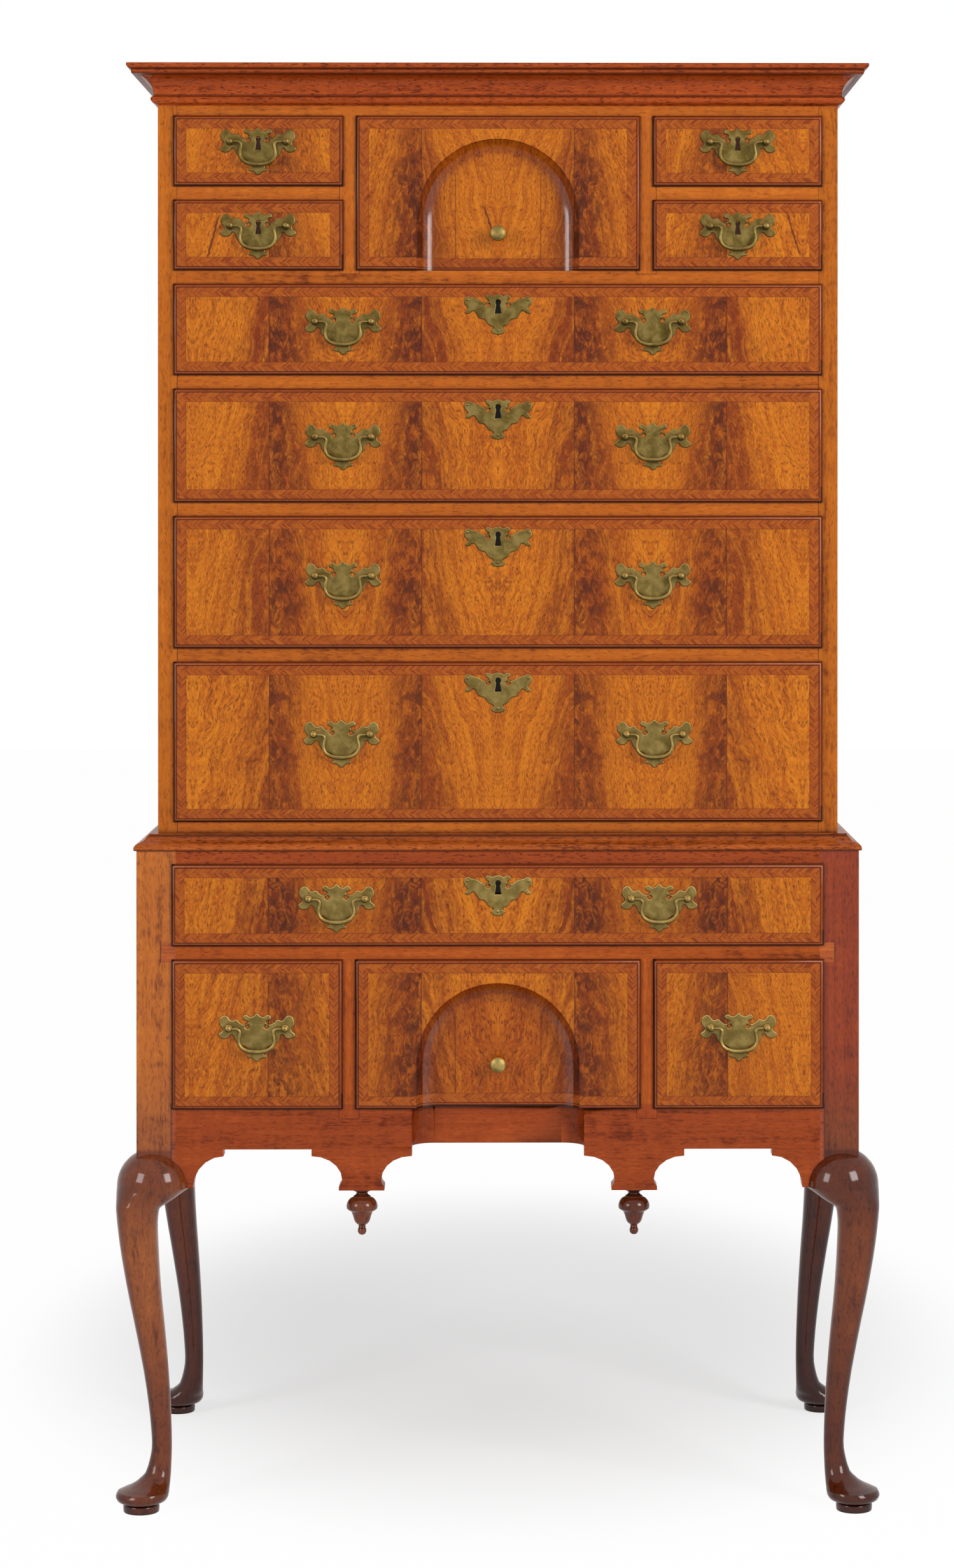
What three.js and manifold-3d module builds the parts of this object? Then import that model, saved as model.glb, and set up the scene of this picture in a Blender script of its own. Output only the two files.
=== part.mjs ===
// A flat-top highboy in walnut: an upper case of nine drawers that stands in the waist moulding of a lower
// case of four drawers on cabriole legs. Millimetres, +Z up, front towards -Y, floor at Z = 0.
import * as THREE from 'three';
import { mergeVertices } from 'three/addons/utils/BufferGeometryUtils.js';
import Module from 'manifold-3d';

const wasm = await Module();
wasm.setup();

// Case sizes
const lowerWidth = 897;
const lowerDepth = 520;
const upperInset = 24.5;
const upperSetback = 25;
const postSize = 48.5;
const lowerSideThickness = 22;
const boardThickness = 20;
const backThickness = 12;
const backRabbet = 12;
const bladeDepth = 60;
const topRailDepth = 22;
const dividerThickness = 25;
const dividerLap = 12;
const partitionThickness = 12;
const centreOpening = 345;
const runnerWidth = 20;
const runnerHeight = 18;
const guideHeight = 15;

// Heights, from the floor up
const legHeight = 450;
const apronHeight = 50;
const lowerSquareHeight = 186;
const lowerLongHeight = 102;
const bladeGap = 16.4;
const bottomRailHeight = 33.7;
const longHeights = [200.1, 165.4, 142.4, 114.3];
const smallHeight = 88.4;
const topRailHeight = 12.3;
const corniceHeight = 50;
const corniceReach = 36;
const waistHeight = 20;
const waistProud = 3.5;

// Apron outline
const recessHalfWidth = 107;
const recessRise = 3.5;
const arcStep = 8.5;
const tongueCentre = 169.2;
const tongueWidth = 48.5;
const tongueDrop = 38;
const coveWidth = 38;
const innerCoveLanding = 1.5;
const kneeBlockReach = 21.5;
const kneeBlockDrop = 48;
const apronThickness = 24;
const hollowBackThickness = 12;

// Plinths and pendants under the apron
const plinthHeight = 12.5;
const plinthFlare = 4;
const pendantLength = 58;
const pendantRadius = 15.4;

// Legs
const kneeRadius = 48;
const kneeSetback = 20.5;
const kneeFit = 0.3;

// Drawers
const lipOverlap = 5;
const lipProud = 6;
const lipRadius = 4.6;
const lipFillet = 0.9;
const frontThickness = 24;
const nicheFrontThickness = 40;
const drawerSideThickness = 12;
const drawerBackThickness = 12;
const drawerBottomThickness = 8;
const drawerBottomRaise = 4;
const drawerBackDrop = 14;
const sideClearance = 0.8;
const topClearance = 2;
const rearClearance = 8;
const seatGap = 0.3;

// Niches in the centre drawers and the hollow of the apron
const nicheHalfWidth = 101.5;
const nicheDepth = 26;
const nicheCoveWidth = 28;
const nicheTopMargin = 29;
const knobRadius = 9.8;
const knobLength = 21;
const upperKnobDrop = 146;
const lowerKnobDrop = 132;

// Pulls
const postSpacing = 70;
const plateHalfWidth = 47.75;
const plateHeight = 59.5;
const plateThickness = 1.5;
const plateHoleRadius = 2.9;
const pullPostRadius = 3.2;
const pullBallRadius = 4;
const pullPostLength = 13.5;
const pivotStandoff = 8.2;
const bailPinRadius = 1.5;
const bailRodRadius = 2;
const bailMiddleRadius = 2.6;
const bailDrop = 28.4;
const bailHalfWidth = 22;
const bailPinEntry = 2.4;
const bailPinClearance = 0.3;
const longPullOffset = 193;
const lowPullOffset = 195;
const lowerLongPullOffset = 200;

// Escutcheons and keyholes
const escutcheonHalfWidth = 42;
const escutcheonHeight = 50;
const escutcheonThickness = 1.5;
const escutcheonTopMargin = 11;
const keyholeRadius = 3.3;
const keyholeHeight = 17.4;
const keyholeFootWidth = 7;
const keyholeDepth = 9;
const smallKeyholeRadius = 2;
const smallKeyholeHeight = 9;
const smallKeyholeFootWidth = 3.6;

// Numbers of steps in a quarter curve, and of sides round what is turned or bored
const coveSteps = 5;
const nicheSteps = 4;
const lipSteps = 2;
const domeSides = 20;
const legSides = 10;
const kneeSides = 14;
const turnedSides = 10;
const pullPostSides = 6;
const rodSides = 5;
const boreSides = 4;
const keyholeSides = 6;

// One overrun for every cut and every lap inside a piece, and the fineness of all stored coordinates
const overrun = 2;
const grain = 0.001;

// Outlines as shares of the sizes that they follow. The brass outlines are left halves, from the top middle to
// the bottom tip, as shares of the half width and of the height, measured from the line of the posts or holes.
const plateShares = [
  [0, 0.306], [0.185, 0.24], [0.3, 0.279], [0.36, 0.22], [0.24, 0.14], [0.34, 0.07], [0.59, 0.17],
  [0.807, 0.263], [0.966, 0.17], [0.882, -0.034], [1, -0.14], [0.84, -0.218], [0.655, -0.122],
  [0.479, -0.327], [0.303, -0.381], [0.173, -0.54], [0, -0.694],
];
const plateHoleShares = [0.247, 0.034];
const escutcheonShares = [
  [0, 0.273], [0.173, 0.23], [0.273, 0.267], [0.36, 0.22], [0.273, 0.12], [0.371, 0.055], [0.597, 0.152],
  [0.892, 0.227], [1, 0.12], [0.892, -0.076], [0.971, -0.182], [0.719, -0.136],
  [0.55, -0.318], [0.396, -0.355], [0.288, -0.479], [0.129, -0.59], [0, -0.727],
];
const escutcheonHoleShares = [0.299, 0.006];
// Ball head of a pull's post about its middle: shares of the ball's radius across and outwards
const ballShares = [[1, 0], [0.7, 0.7], [0, 1]];
// One side of a bail from its neck down, then its thicker middle: shares of the half width and of the drop
const bailSideShares = [[0.936, -0.14], [1, -0.6]];
const bailMiddleShares = [[0.8, -0.86], [0.36, -1]];
// Height of the pulls over the lower edge of their drawer, as shares of the drawer's height
const smallPullShare = 0.62;
const squarePullShare = 0.545;
const lowerLongPullShare = 0.579;
const longPullShares = [0.547, 0.547, 0.574, 0.581];
// Plinth from its seat down: shares of the flare and of the plinth's height
const plinthShares = [[0, 0], [0.25, -0.3], [1, -0.65], [1, -1]];
// Cornice section from its foot up: shares of the reach and of the height
const corniceShares = [
  [0, 0], [0.04, 0.02], [0.12, 0.05], [0.2, 0.1], [0.235, 0.16], [0.2, 0.21], [0.13, 0.23], [0.13, 0.25],
  [0.157, 0.39], [0.236, 0.52], [0.36, 0.63], [0.52, 0.7], [0.7, 0.735], [0.81, 0.745], [0.84, 0.755],
  [0.84, 0.85], [0.93, 0.87], [0.985, 0.92], [1, 0.965], [1, 1],
];
// Waist moulding section from its foot up: shares of the reach and of the height
const waistShares = [
  [0.965, 0], [0.995, 0.05], [1, 0.17], [0.96, 0.3], [0.88, 0.4], [0.79, 0.47], [0.67, 0.53], [0.58, 0.6],
  [0.5, 0.72], [0.42, 0.88], [0.37, 0.93], [0.37, 1],
];
// Turned pendant from its seat down: shares of the radius and of the length
const pendantShares = [
  [0.8, 0], [0.8, 0.04], [0.48, 0.12], [0.5, 0.18], [0.88, 0.26], [1, 0.36], [0.88, 0.46], [0.74, 0.48],
  [0.66, 0.66], [0.52, 0.76], [0.22, 0.83], [0.35, 0.9], [0.28, 0.98],
];
// Turned knob from the wood outwards: shares of the radius and of the length
const knobShares = [[0.75, 0], [0.75, 0.08], [0.36, 0.26], [0.42, 0.42], [0.8, 0.54], [1, 0.72], [0.85, 0.92]];
// Cabriole leg from the disc up: shares of the leg's height, then the outer and inner outlines as shares of the
// post's width measured inwards from its outer face, and the squareness of the section there
const legShares = [
  [0, -0.345, 0.57, 2], [0.018, -0.352, 0.577, 2], [0.021, -0.31, 0.536, 2], [0.028, -0.46, 0.69, 2],
  [0.041, -0.54, 0.8, 2], [0.053, -0.49, 0.818, 2], [0.066, -0.19, 0.822, 2], [0.082, 0.06, 0.824, 2],
  [0.115, 0.26, 0.83, 2.1], [0.16, 0.345, 0.835, 2.1], [0.218, 0.334, 0.829, 2.2], [0.33, 0.215, 0.8, 2.3],
  [0.47, -0.005, 0.72, 2.4], [0.63, -0.28, 0.6, 2.5], [0.78, -0.486, 0.56, 2.5], [0.867, -0.56, 0.6, 2.4],
  [0.9, -0.55, 0.7, 2.2],
];
// Underside and dome of the knee, revolved about its upright axis: shares of the knee's radius
const kneeShares = [
  [0, -0.68], [0.3, -0.48], [0.48, -0.38], [0.75, -0.2], [1, 0], [0.94, 0.34], [0.77, 0.64], [0.45, 0.89], [0, 1],
];

// Derived case lines
const halfLower = lowerWidth / 2;
const halfUpper = halfLower - upperInset;
const halfOpening = halfLower - postSize;
const upperFront = upperSetback;
const apronTop = legHeight + apronHeight;
const lowerBladeZ = apronTop + lowerSquareHeight + bladeGap;
const waistZ = lowerBladeZ + lowerLongHeight + bladeGap;
const longBottoms = [waistZ + bottomRailHeight];
for (const height of longHeights) {
  longBottoms.push(longBottoms[longBottoms.length - 1] + height + bladeGap);
}
const smallBottom = longBottoms.pop();
const smallUpperBottom = smallBottom + smallHeight + bladeGap;
const topRowTop = smallUpperBottom + smallHeight;
const corniceZ = topRowTop + topRailHeight;
const topZ = corniceZ + corniceHeight;
const centreHalf = centreOpening / 2;
const dividerCentre = centreHalf + dividerThickness / 2;
const innerOpening = centreHalf + dividerThickness;

// Materials
const wood = (color) => () => new THREE.MeshStandardMaterial({ color, roughness: 0.42, metalness: 0 });
const frontWood = wood(0xb3662a);
const caseWood = wood(0xa05a2b);
const mouldingWood = wood(0x8e3e23);
const legWood = wood(0x8d4b2d);
const plainWood = wood(0xb08a5a);
const brass = () => new THREE.MeshStandardMaterial({ color: 0x7d6a35, roughness: 0.4, metalness: 0.9 });

// Solids

function solid(geometry) {
  const bare = geometry.clone();
  bare.deleteAttribute('normal');
  bare.deleteAttribute('uv');
  const points = bare.attributes.position;
  for (let i = 0; i < points.array.length; i += 1) {
    points.array[i] = Math.round(points.array[i] / grain) * grain;
  }
  const merged = mergeVertices(bare, grain / 2);
  return new wasm.Manifold(new wasm.Mesh({
    numProp: 3,
    vertProperties: Float32Array.from(merged.attributes.position.array),
    triVerts: Uint32Array.from(merged.index.array),
  }));
}

function join(...solids) {
  return solids.reduce((whole, next) => whole.add(next));
}

function common(...solids) {
  return solids.reduce((whole, next) => whole.intersect(next));
}

function cut(whole, ...tools) {
  return tools.reduce((rest, tool) => rest.subtract(tool), whole);
}

function box(x0, x1, y0, y1, z0, z1) {
  const geometry = new THREE.BoxGeometry(x1 - x0, y1 - y0, z1 - z0);
  return solid(geometry.translate((x0 + x1) / 2, (y0 + y1) / 2, (z0 + z1) / 2));
}

// A box and its mirror image to the left of the middle plane
function boxPair(x0, x1, y0, y1, z0, z1) {
  return join(box(x0, x1, y0, y1, z0, z1), box(-x1, -x0, y0, y1, z0, z1));
}

// An outline drawn in the plane across an axis and carried along that axis. The outline's two numbers are
// (y, z) for axis x, (x, z) for axis y and (x, y) for axis z.
function prism(axis, outline, from, to, holes = []) {
  const shape = new THREE.Shape(outline.map(([a, b]) => new THREE.Vector2(a, b)));
  for (const hole of holes) {
    shape.holes.push(new THREE.Path(hole.map(([a, b]) => new THREE.Vector2(a, b))));
  }
  const geometry = new THREE.ExtrudeGeometry(shape, { depth: to - from, bevelEnabled: false });
  const X = new THREE.Vector3(1, 0, 0);
  const Y = new THREE.Vector3(0, 1, 0);
  const Z = new THREE.Vector3(0, 0, 1);
  const turn = new THREE.Matrix4();
  if (axis === 'x') {
    turn.makeBasis(Y, Z, X).setPosition(from, 0, 0);
  } else if (axis === 'y') {
    turn.makeBasis(X, Z, Y.clone().negate()).setPosition(0, to, 0);
  } else {
    turn.makeBasis(X, Y, Z).setPosition(0, 0, from);
  }
  return solid(geometry.applyMatrix4(turn));
}

// A section of (radius, height) points revolved about the z axis. It starts and ends on the axis.
function turned(section, sides) {
  return new THREE.LatheGeometry(section.map(([r, z]) => new THREE.Vector2(r, z)), sides).rotateX(Math.PI / 2);
}

function circle(x, y, radius, sides) {
  const points = [];
  for (let i = 0; i < sides; i += 1) {
    const angle = (i / sides) * 2 * Math.PI;
    points.push([x + radius * Math.cos(angle), y + radius * Math.sin(angle)]);
  }
  return points;
}

// A quarter of an ellipse from one point to another, leaving along the second axis and arriving along the first
function quarter([x0, z0], [x1, z1], steps) {
  const points = [];
  for (let i = 0; i <= steps; i += 1) {
    const angle = (i / steps) * (Math.PI / 2);
    points.push([x1 + (x0 - x1) * Math.cos(angle), z0 + (z1 - z0) * Math.sin(angle)]);
  }
  return points;
}

function mirrored(points) {
  return points.map(([x, z]) => [-x, z]).reverse();
}

function scaled(shares, width, height) {
  return shares.map(([a, b]) => [a * width, b * height]);
}

// A closed symmetrical outline from its left half, whose first and last points lie on the middle line
function wholeOutline(shares, halfWidth, height) {
  const right = scaled(shares, halfWidth, height);
  const left = mirrored(right).slice(1, -1);
  return [...right, ...left].reverse();
}

function toGeometry(body) {
  const mesh = body.getMesh();
  const points = new Float32Array(mesh.vertProperties.length);
  for (let i = 0; i < points.length; i += 1) {
    points[i] = Math.round(mesh.vertProperties[i] / grain) * grain;
  }
  const geometry = new THREE.BufferGeometry();
  geometry.setAttribute('position', new THREE.BufferAttribute(points, 3));
  geometry.setIndex(new THREE.BufferAttribute(Uint32Array.from(mesh.triVerts), 1));
  const faceted = geometry.toNonIndexed();
  faceted.computeVertexNormals();
  return faceted;
}

// A copy of a geometry turned over the x plane, the y plane or both, with its faces kept pointing outwards
function reflected(geometry, alongX, alongY) {
  const copy = geometry.clone().scale(alongX, alongY, 1);
  if (alongX * alongY < 0) {
    const points = copy.attributes.position;
    for (let i = 0; i < points.count; i += 3) {
      for (let axis = 0; axis < 3; axis += 1) {
        const held = points.getComponent(i, axis);
        points.setComponent(i, axis, points.getComponent(i + 2, axis));
        points.setComponent(i + 2, axis, held);
      }
    }
  }
  copy.computeVertexNormals();
  return copy;
}

const highboy = new THREE.Group();

function piece(parent, name, geometry, material, position = [0, 0, 0]) {
  const mesh = new THREE.Mesh(geometry, material);
  mesh.name = name;
  mesh.position.set(...position);
  parent.add(mesh);
  return mesh;
}

// Upper case: sides, top, bottom and long blades in one dovetailed box, with the runners on its sides

function upperCarcass() {
  const inside = halfOpening;
  const bladeBack = upperFront + bladeDepth;
  const backFace = lowerDepth - backThickness;
  const sides = boxPair(inside, halfUpper, upperFront, lowerDepth, waistZ, topZ);
  const rabbets = boxPair(inside - overrun, halfUpper - backRabbet, backFace, lowerDepth + overrun,
    waistZ - overrun, topZ + overrun);
  const topBoard = box(-inside - overrun, inside + overrun, upperFront + topRailDepth, backFace,
    topZ - boardThickness, topZ);
  const bottomBoard = box(-inside - overrun, inside + overrun, bladeBack - overrun, backFace,
    waistZ, waistZ + boardThickness);
  const bottomRail = box(-inside - overrun, inside + overrun, upperFront, bladeBack, waistZ, longBottoms[0]);
  let carcass = join(cut(sides, rabbets), topBoard, bottomBoard, bottomRail);
  for (const bottom of longBottoms.slice(1)) {
    const underside = bottom - bladeGap - lipOverlap;
    const blade = box(-inside - overrun, inside + overrun, upperFront, bladeBack, underside, bottom);
    carcass = join(carcass, blade);
  }
  for (const bottom of [...longBottoms, smallBottom, smallUpperBottom]) {
    const runners = boxPair(inside - runnerWidth, inside + overrun, bladeBack, backFace,
      bottom - runnerHeight, bottom);
    carcass = join(carcass, runners);
  }
  return carcass;
}

function upperBack() {
  return box(backRabbet - halfUpper, halfUpper - backRabbet, lowerDepth - backThickness, lowerDepth, waistZ, topZ);
}

// Two dividers with full-depth partitions behind them, which carry the inner runners of the side drawers
function dividers(front, back, z0, z1, bladeBack) {
  const posts = boxPair(centreHalf, innerOpening, front, bladeBack, z0, z1);
  const partitions = boxPair(dividerCentre - partitionThickness / 2, dividerCentre + partitionThickness / 2,
    bladeBack - overrun, back, z0, z1);
  return join(posts, partitions);
}

function innerRunners(front, back, bottoms) {
  const half = dividerThickness / 2 + runnerWidth;
  return join(...bottoms.map((z) => boxPair(dividerCentre - half, dividerCentre + half, front, back,
    z - runnerHeight, z)));
}

function upperFrontFrame() {
  const inside = halfOpening;
  const bladeBack = upperFront + bladeDepth;
  const backFace = lowerDepth - backThickness;
  const longTop = smallBottom - bladeGap - lipOverlap;
  const railZ = topRowTop - lipOverlap;
  const blade = box(-inside, inside, upperFront, bladeBack, longTop, smallBottom);
  const shortZ = smallUpperBottom - bladeGap - lipOverlap;
  const shortBlades = boxPair(innerOpening - overrun, inside, upperFront, bladeBack, shortZ, smallUpperBottom);
  const topRail = box(-inside, inside, upperFront, upperFront + topRailDepth, railZ, topZ);
  const uprights = dividers(upperFront, backFace, smallBottom - overrun, railZ + overrun, bladeBack);
  const low = innerRunners(bladeBack - overrun, backFace, [smallBottom]);
  const high = boxPair(dividerCentre, innerOpening + runnerWidth, bladeBack - overrun, backFace,
    smallUpperBottom - runnerHeight, smallUpperBottom);
  return join(blade, shortBlades, topRail, uprights, low, high);
}

// A moulding that runs along the front and returns along both sides of a case, mitred at the corners
function mitredMoulding(section, halfWidth, front, back) {
  const reach = Math.max(...section.map(([out]) => out));
  const top = section[section.length - 1][1];
  const foot = section[0][1];
  const along = [...section.map(([out, z]) => [front - out, z]), [back, top], [back, foot]];
  const right = section.map(([out, z]) => [halfWidth + out, z]);
  const across = [...right, ...mirrored(right)];
  const side = prism('x', along, -halfWidth - reach - overrun, halfWidth + reach + overrun);
  const face = prism('y', across, front - reach - overrun, back + overrun);
  const inner = box(-halfWidth, halfWidth, front, back + overrun, foot - overrun, top + overrun);
  return cut(common(side, face), inner);
}

function cornice() {
  const section = scaled(corniceShares, corniceReach, corniceHeight).map(([out, z]) => [out, z + corniceZ]);
  return mitredMoulding(section, halfUpper, upperFront, lowerDepth);
}

function waistMoulding() {
  const reach = upperInset + waistProud;
  const section = scaled(waistShares, reach, waistHeight).map(([out, z]) => [out, z + waistZ]);
  return mitredMoulding(section, halfUpper, upperFront, lowerDepth);
}

// Lower case

// The coved lower edge of a knee block, from the post that it stands against towards the middle
function kneeBlockEdge(post, towards) {
  const foot = [post + towards * kneeBlockReach, legHeight - kneeBlockDrop];
  const top = [foot[0] + towards * coveWidth, legHeight - arcStep];
  return [[post, foot[1]], ...quarter(foot, top, coveSteps)];
}

function lowerCarcass() {
  const inner = halfLower - lowerSideThickness;
  const boardFoot = legHeight - arcStep;
  const sides = boxPair(inner, halfLower, postSize, lowerDepth - postSize, boardFoot, waistZ);
  const backFace = lowerDepth - backThickness;
  const back = box(-halfOpening, halfOpening, backFace, lowerDepth, boardFoot, waistZ);
  const topRail = box(-halfOpening, halfOpening, 0, bladeDepth, waistZ - bladeGap - lipOverlap, waistZ);
  let carcass = join(sides, back, topRail);
  const narrow = halfOpening - runnerWidth;
  for (const top of [apronTop, lowerBladeZ, waistZ]) {
    const front = top === waistZ ? bladeDepth - overrun : bladeDepth;
    const wide = boxPair(narrow, inner + overrun, front, lowerDepth - postSize, top - runnerHeight, top);
    const tail = boxPair(narrow, halfOpening, front, backFace + overrun, top - runnerHeight, top);
    carcass = join(carcass, wide, tail);
  }
  for (const top of [apronTop, lowerBladeZ]) {
    const guides = boxPair(halfOpening, inner + overrun, bladeDepth, lowerDepth - postSize,
      top - overrun, top + guideHeight);
    carcass = join(carcass, guides);
  }
  return carcass;
}

// The right half of a hollow of coved plan, from the inner end of its cove to a little before the front
function hollowSide(halfWidth, front) {
  const deep = [halfWidth - nicheCoveWidth, front + nicheDepth];
  return [...quarter(deep, [halfWidth, front], nicheSteps), [halfWidth, front - overrun]];
}

function hollow(halfWidth, front, bottom, top) {
  const right = hollowSide(halfWidth, front);
  return prism('z', [...right, ...mirrored(right)], bottom, top);
}

// A hollow that ends in an arch at its top
function nicheCutter(halfWidth, front, bottom, top) {
  const spring = top - halfWidth;
  const section = [[0, front + nicheDepth], ...hollowSide(halfWidth, front), [0, front - overrun]];
  const dome = turned(section.reverse(), domeSides).rotateX(-Math.PI / 2).translate(0, 0, spring);
  return join(hollow(halfWidth, front, bottom, spring), solid(dome));
}

function plinth(centre) {
  const half = tongueWidth / 2;
  const drop = legHeight - tongueDrop;
  const flare = scaled(plinthShares, plinthFlare, plinthHeight).map(([out, z]) => [half + out, drop + z]);
  const right = [[half, drop + overrun], ...flare];
  const outline = [...right, ...mirrored(right)];
  const across = outline.map(([x, z]) => [x + centre, z]);
  const reach = apronThickness / 2 - half;
  const deep = outline.map(([x, z]) => [x + Math.sign(x) * reach + apronThickness / 2, z]);
  return common(prism('y', across, -tongueWidth, tongueWidth), prism('x', deep, centre - tongueWidth,
    centre + tongueWidth));
}

function apronOutline() {
  const foot = legHeight - tongueDrop;
  const step = legHeight - arcStep;
  const inner = tongueCentre - tongueWidth / 2;
  const outer = tongueCentre + tongueWidth / 2;
  const landing = recessHalfWidth + innerCoveLanding;
  const right = [
    [recessHalfWidth, legHeight + recessRise], [recessHalfWidth, step],
    ...quarter([inner, foot], [landing, step], coveSteps).reverse(),
    ...quarter([outer, foot], [outer + coveWidth, step], coveSteps),
    [outer + coveWidth, legHeight], [halfOpening - kneeBlockReach - coveWidth, legHeight],
    ...kneeBlockEdge(halfOpening, -1).reverse(),
    [halfOpening, apronTop],
  ];
  return [...right, ...mirrored(right)];
}

function lowerFrontFrame() {
  const backFace = lowerDepth - backThickness;
  const apron = prism('y', apronOutline(), 0, apronThickness);
  const blockHalf = recessHalfWidth + hollowBackThickness;
  const block = box(-blockHalf, blockHalf, overrun, nicheDepth + hollowBackThickness,
    legHeight + recessRise, apronTop);
  const recess = hollow(recessHalfWidth, 0, legHeight - tongueDrop, apronTop + overrun);
  const bladeZ = apronTop + lowerSquareHeight - lipOverlap;
  const blade = box(-halfOpening, halfOpening, 0, bladeDepth, bladeZ, lowerBladeZ);
  const uprights = dividers(0, backFace, apronTop - overrun, bladeZ + overrun, bladeDepth);
  const laps = boxPair(centreHalf + lipOverlap, innerOpening - lipOverlap, overrun, apronThickness,
    apronTop - dividerLap, apronTop);
  const runners = innerRunners(apronThickness, backFace, [apronTop]);
  const ends = boxPair(halfOpening - runnerWidth, halfOpening, overrun, bladeDepth, apronTop - runnerHeight,
    apronTop);
  const frame = join(apron, block, blade, uprights, laps, runners, ends, plinth(tongueCentre),
    plinth(-tongueCentre));
  return cut(frame, recess);
}

// Legs. The shaft is a loft whose section changes from a round foot to a rounded square; the knee is a dome
// that swells over the skirt boards, which it clears, and the post runs up beside the drawers.

function legShaft() {
  const rings = legShares.length;
  const geometry = new THREE.CylinderGeometry(1, 1, 1, legSides, rings - 1);
  geometry.rotateX(Math.PI / 2);
  const points = geometry.attributes.position;
  for (let i = 0; i < points.count; i += 1) {
    const level = Math.round((points.getZ(i) + 1 / 2) * (rings - 1));
    const [height, outer, inner, square] = legShares[level];
    const centre = ((outer + inner) / 2) * postSize;
    const half = ((inner - outer) / 2) * postSize;
    const radius = Math.hypot(points.getX(i), points.getY(i));
    const angle = Math.atan2(points.getY(i), points.getX(i));
    const reach = radius / (Math.abs(Math.cos(angle)) ** square + Math.abs(Math.sin(angle)) ** square)
      ** (1 / square);
    points.setXYZ(i, centre + half * reach * Math.cos(angle), centre + half * reach * Math.sin(angle),
      height * legHeight);
  }
  return solid(geometry);
}

// One leg at the left front corner, with its outer faces on x = 0 and y = 0
function leg() {
  const kneeZ = legHeight - kneeBlockDrop;
  const post = box(0, postSize, 0, postSize, kneeZ, waistZ);
  const knee = solid(turned(scaled(kneeShares, kneeRadius, kneeRadius), kneeSides)
    .translate(kneeSetback, kneeSetback, kneeZ));
  const far = Math.max(postSize, kneeSetback + kneeRadius) + overrun;
  const boardFoot = legHeight - arcStep;
  const frontBoard = box(postSize, far, -kneeFit, far, kneeZ - kneeFit, waistZ);
  const sideBoard = box(-kneeFit, far, postSize, far, boardFoot - kneeFit, waistZ);
  const block = prism('x', [...kneeBlockEdge(postSize, 1), [postSize, boardFoot]], 0, lowerSideThickness);
  return join(cut(join(legShaft(), knee), frontBoard, sideBoard), post, block);
}

function pendant() {
  const section = scaled(pendantShares, pendantRadius, -pendantLength);
  return turned([[0, 0], ...section, [0, -pendantLength]].reverse(), turnedSides);
}

// Drawers. Each is drawn about the middle of its lip's lower edge, with y = 0 on the face of the case.

// A board with a thumbnail edge and a fillet all round its front
function lippedBoard(width, height) {
  const front = -lipProud;
  const step = front + lipFillet;
  const back = -seatGap;
  const arc = quarter([0, step + lipRadius], [lipRadius, step], lipSteps);
  const edge = [[0, back], ...arc, [lipRadius, front]];
  const half = width / 2;
  const left = edge.map(([inset, y]) => [inset - half, y]);
  const plan = [...left, ...mirrored(left)];
  const low = edge.map(([inset, y]) => [y, inset]);
  const high = edge.map(([inset, y]) => [y, height - inset]).reverse();
  return common(prism('z', plan, 0, height), prism('x', [...low, ...high], -half, half));
}

function drawer(width, height, depth, thickness) {
  const half = width / 2 - lipOverlap - sideClearance;
  const top = height - lipOverlap - topClearance;
  const body = box(-half, half, -seatGap - overrun, thickness - lipProud, seatGap, top);
  const inner = thickness - lipProud - overrun;
  const sides = boxPair(half - drawerSideThickness, half, inner, depth, seatGap, top);
  const bottomZ = seatGap + drawerBottomRaise;
  const rear = box(-half, half, depth - drawerBackThickness, depth, bottomZ, top - drawerBackDrop);
  const bottom = box(-half, half, inner, depth, bottomZ, bottomZ + drawerBottomThickness);
  return join(lippedBoard(width, height), body, sides, rear, bottom);
}

function keyholeOutline(x, z, radius, height, footWidth) {
  const points = [];
  const half = footWidth / 2;
  const neckAngle = Math.PI / 4;
  for (let i = 0; i <= keyholeSides; i += 1) {
    const angle = (i / keyholeSides) * (Math.PI + 2 * neckAngle) - neckAngle;
    points.push([x + radius * Math.cos(angle), z + radius * Math.sin(angle)]);
  }
  const foot = z + radius - height;
  return [...points, [x - half, foot], [x + half, foot]];
}

function escutcheon(height) {
  const holeZ = height - escutcheonTopMargin - escutcheonShares[0][1] * escutcheonHeight;
  const outline = wholeOutline(escutcheonShares, escutcheonHalfWidth, escutcheonHeight)
    .map(([x, z]) => [x, z + holeZ]);
  const [acrossShare, upShare] = escutcheonHoleShares;
  const holes = [-1, 1].map((side) => circle(side * acrossShare * escutcheonHalfWidth,
    holeZ + upShare * escutcheonHeight, plateHoleRadius, boreSides));
  const face = -lipProud - escutcheonThickness;
  const plate = prism('y', outline, face, -lipProud + escutcheonThickness);
  const keyhole = keyholeOutline(0, holeZ + keyholeRadius, keyholeRadius, keyholeHeight, keyholeFootWidth);
  return {
    plate,
    cuts: [prism('y', keyhole, face - overrun, keyholeDepth - lipProud),
      ...holes.map((hole) => prism('y', hole, face - overrun, -lipProud))],
  };
}

// Pulls, drawn about the middle of the line between their posts, with y = 0 on the drawer's face

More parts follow.
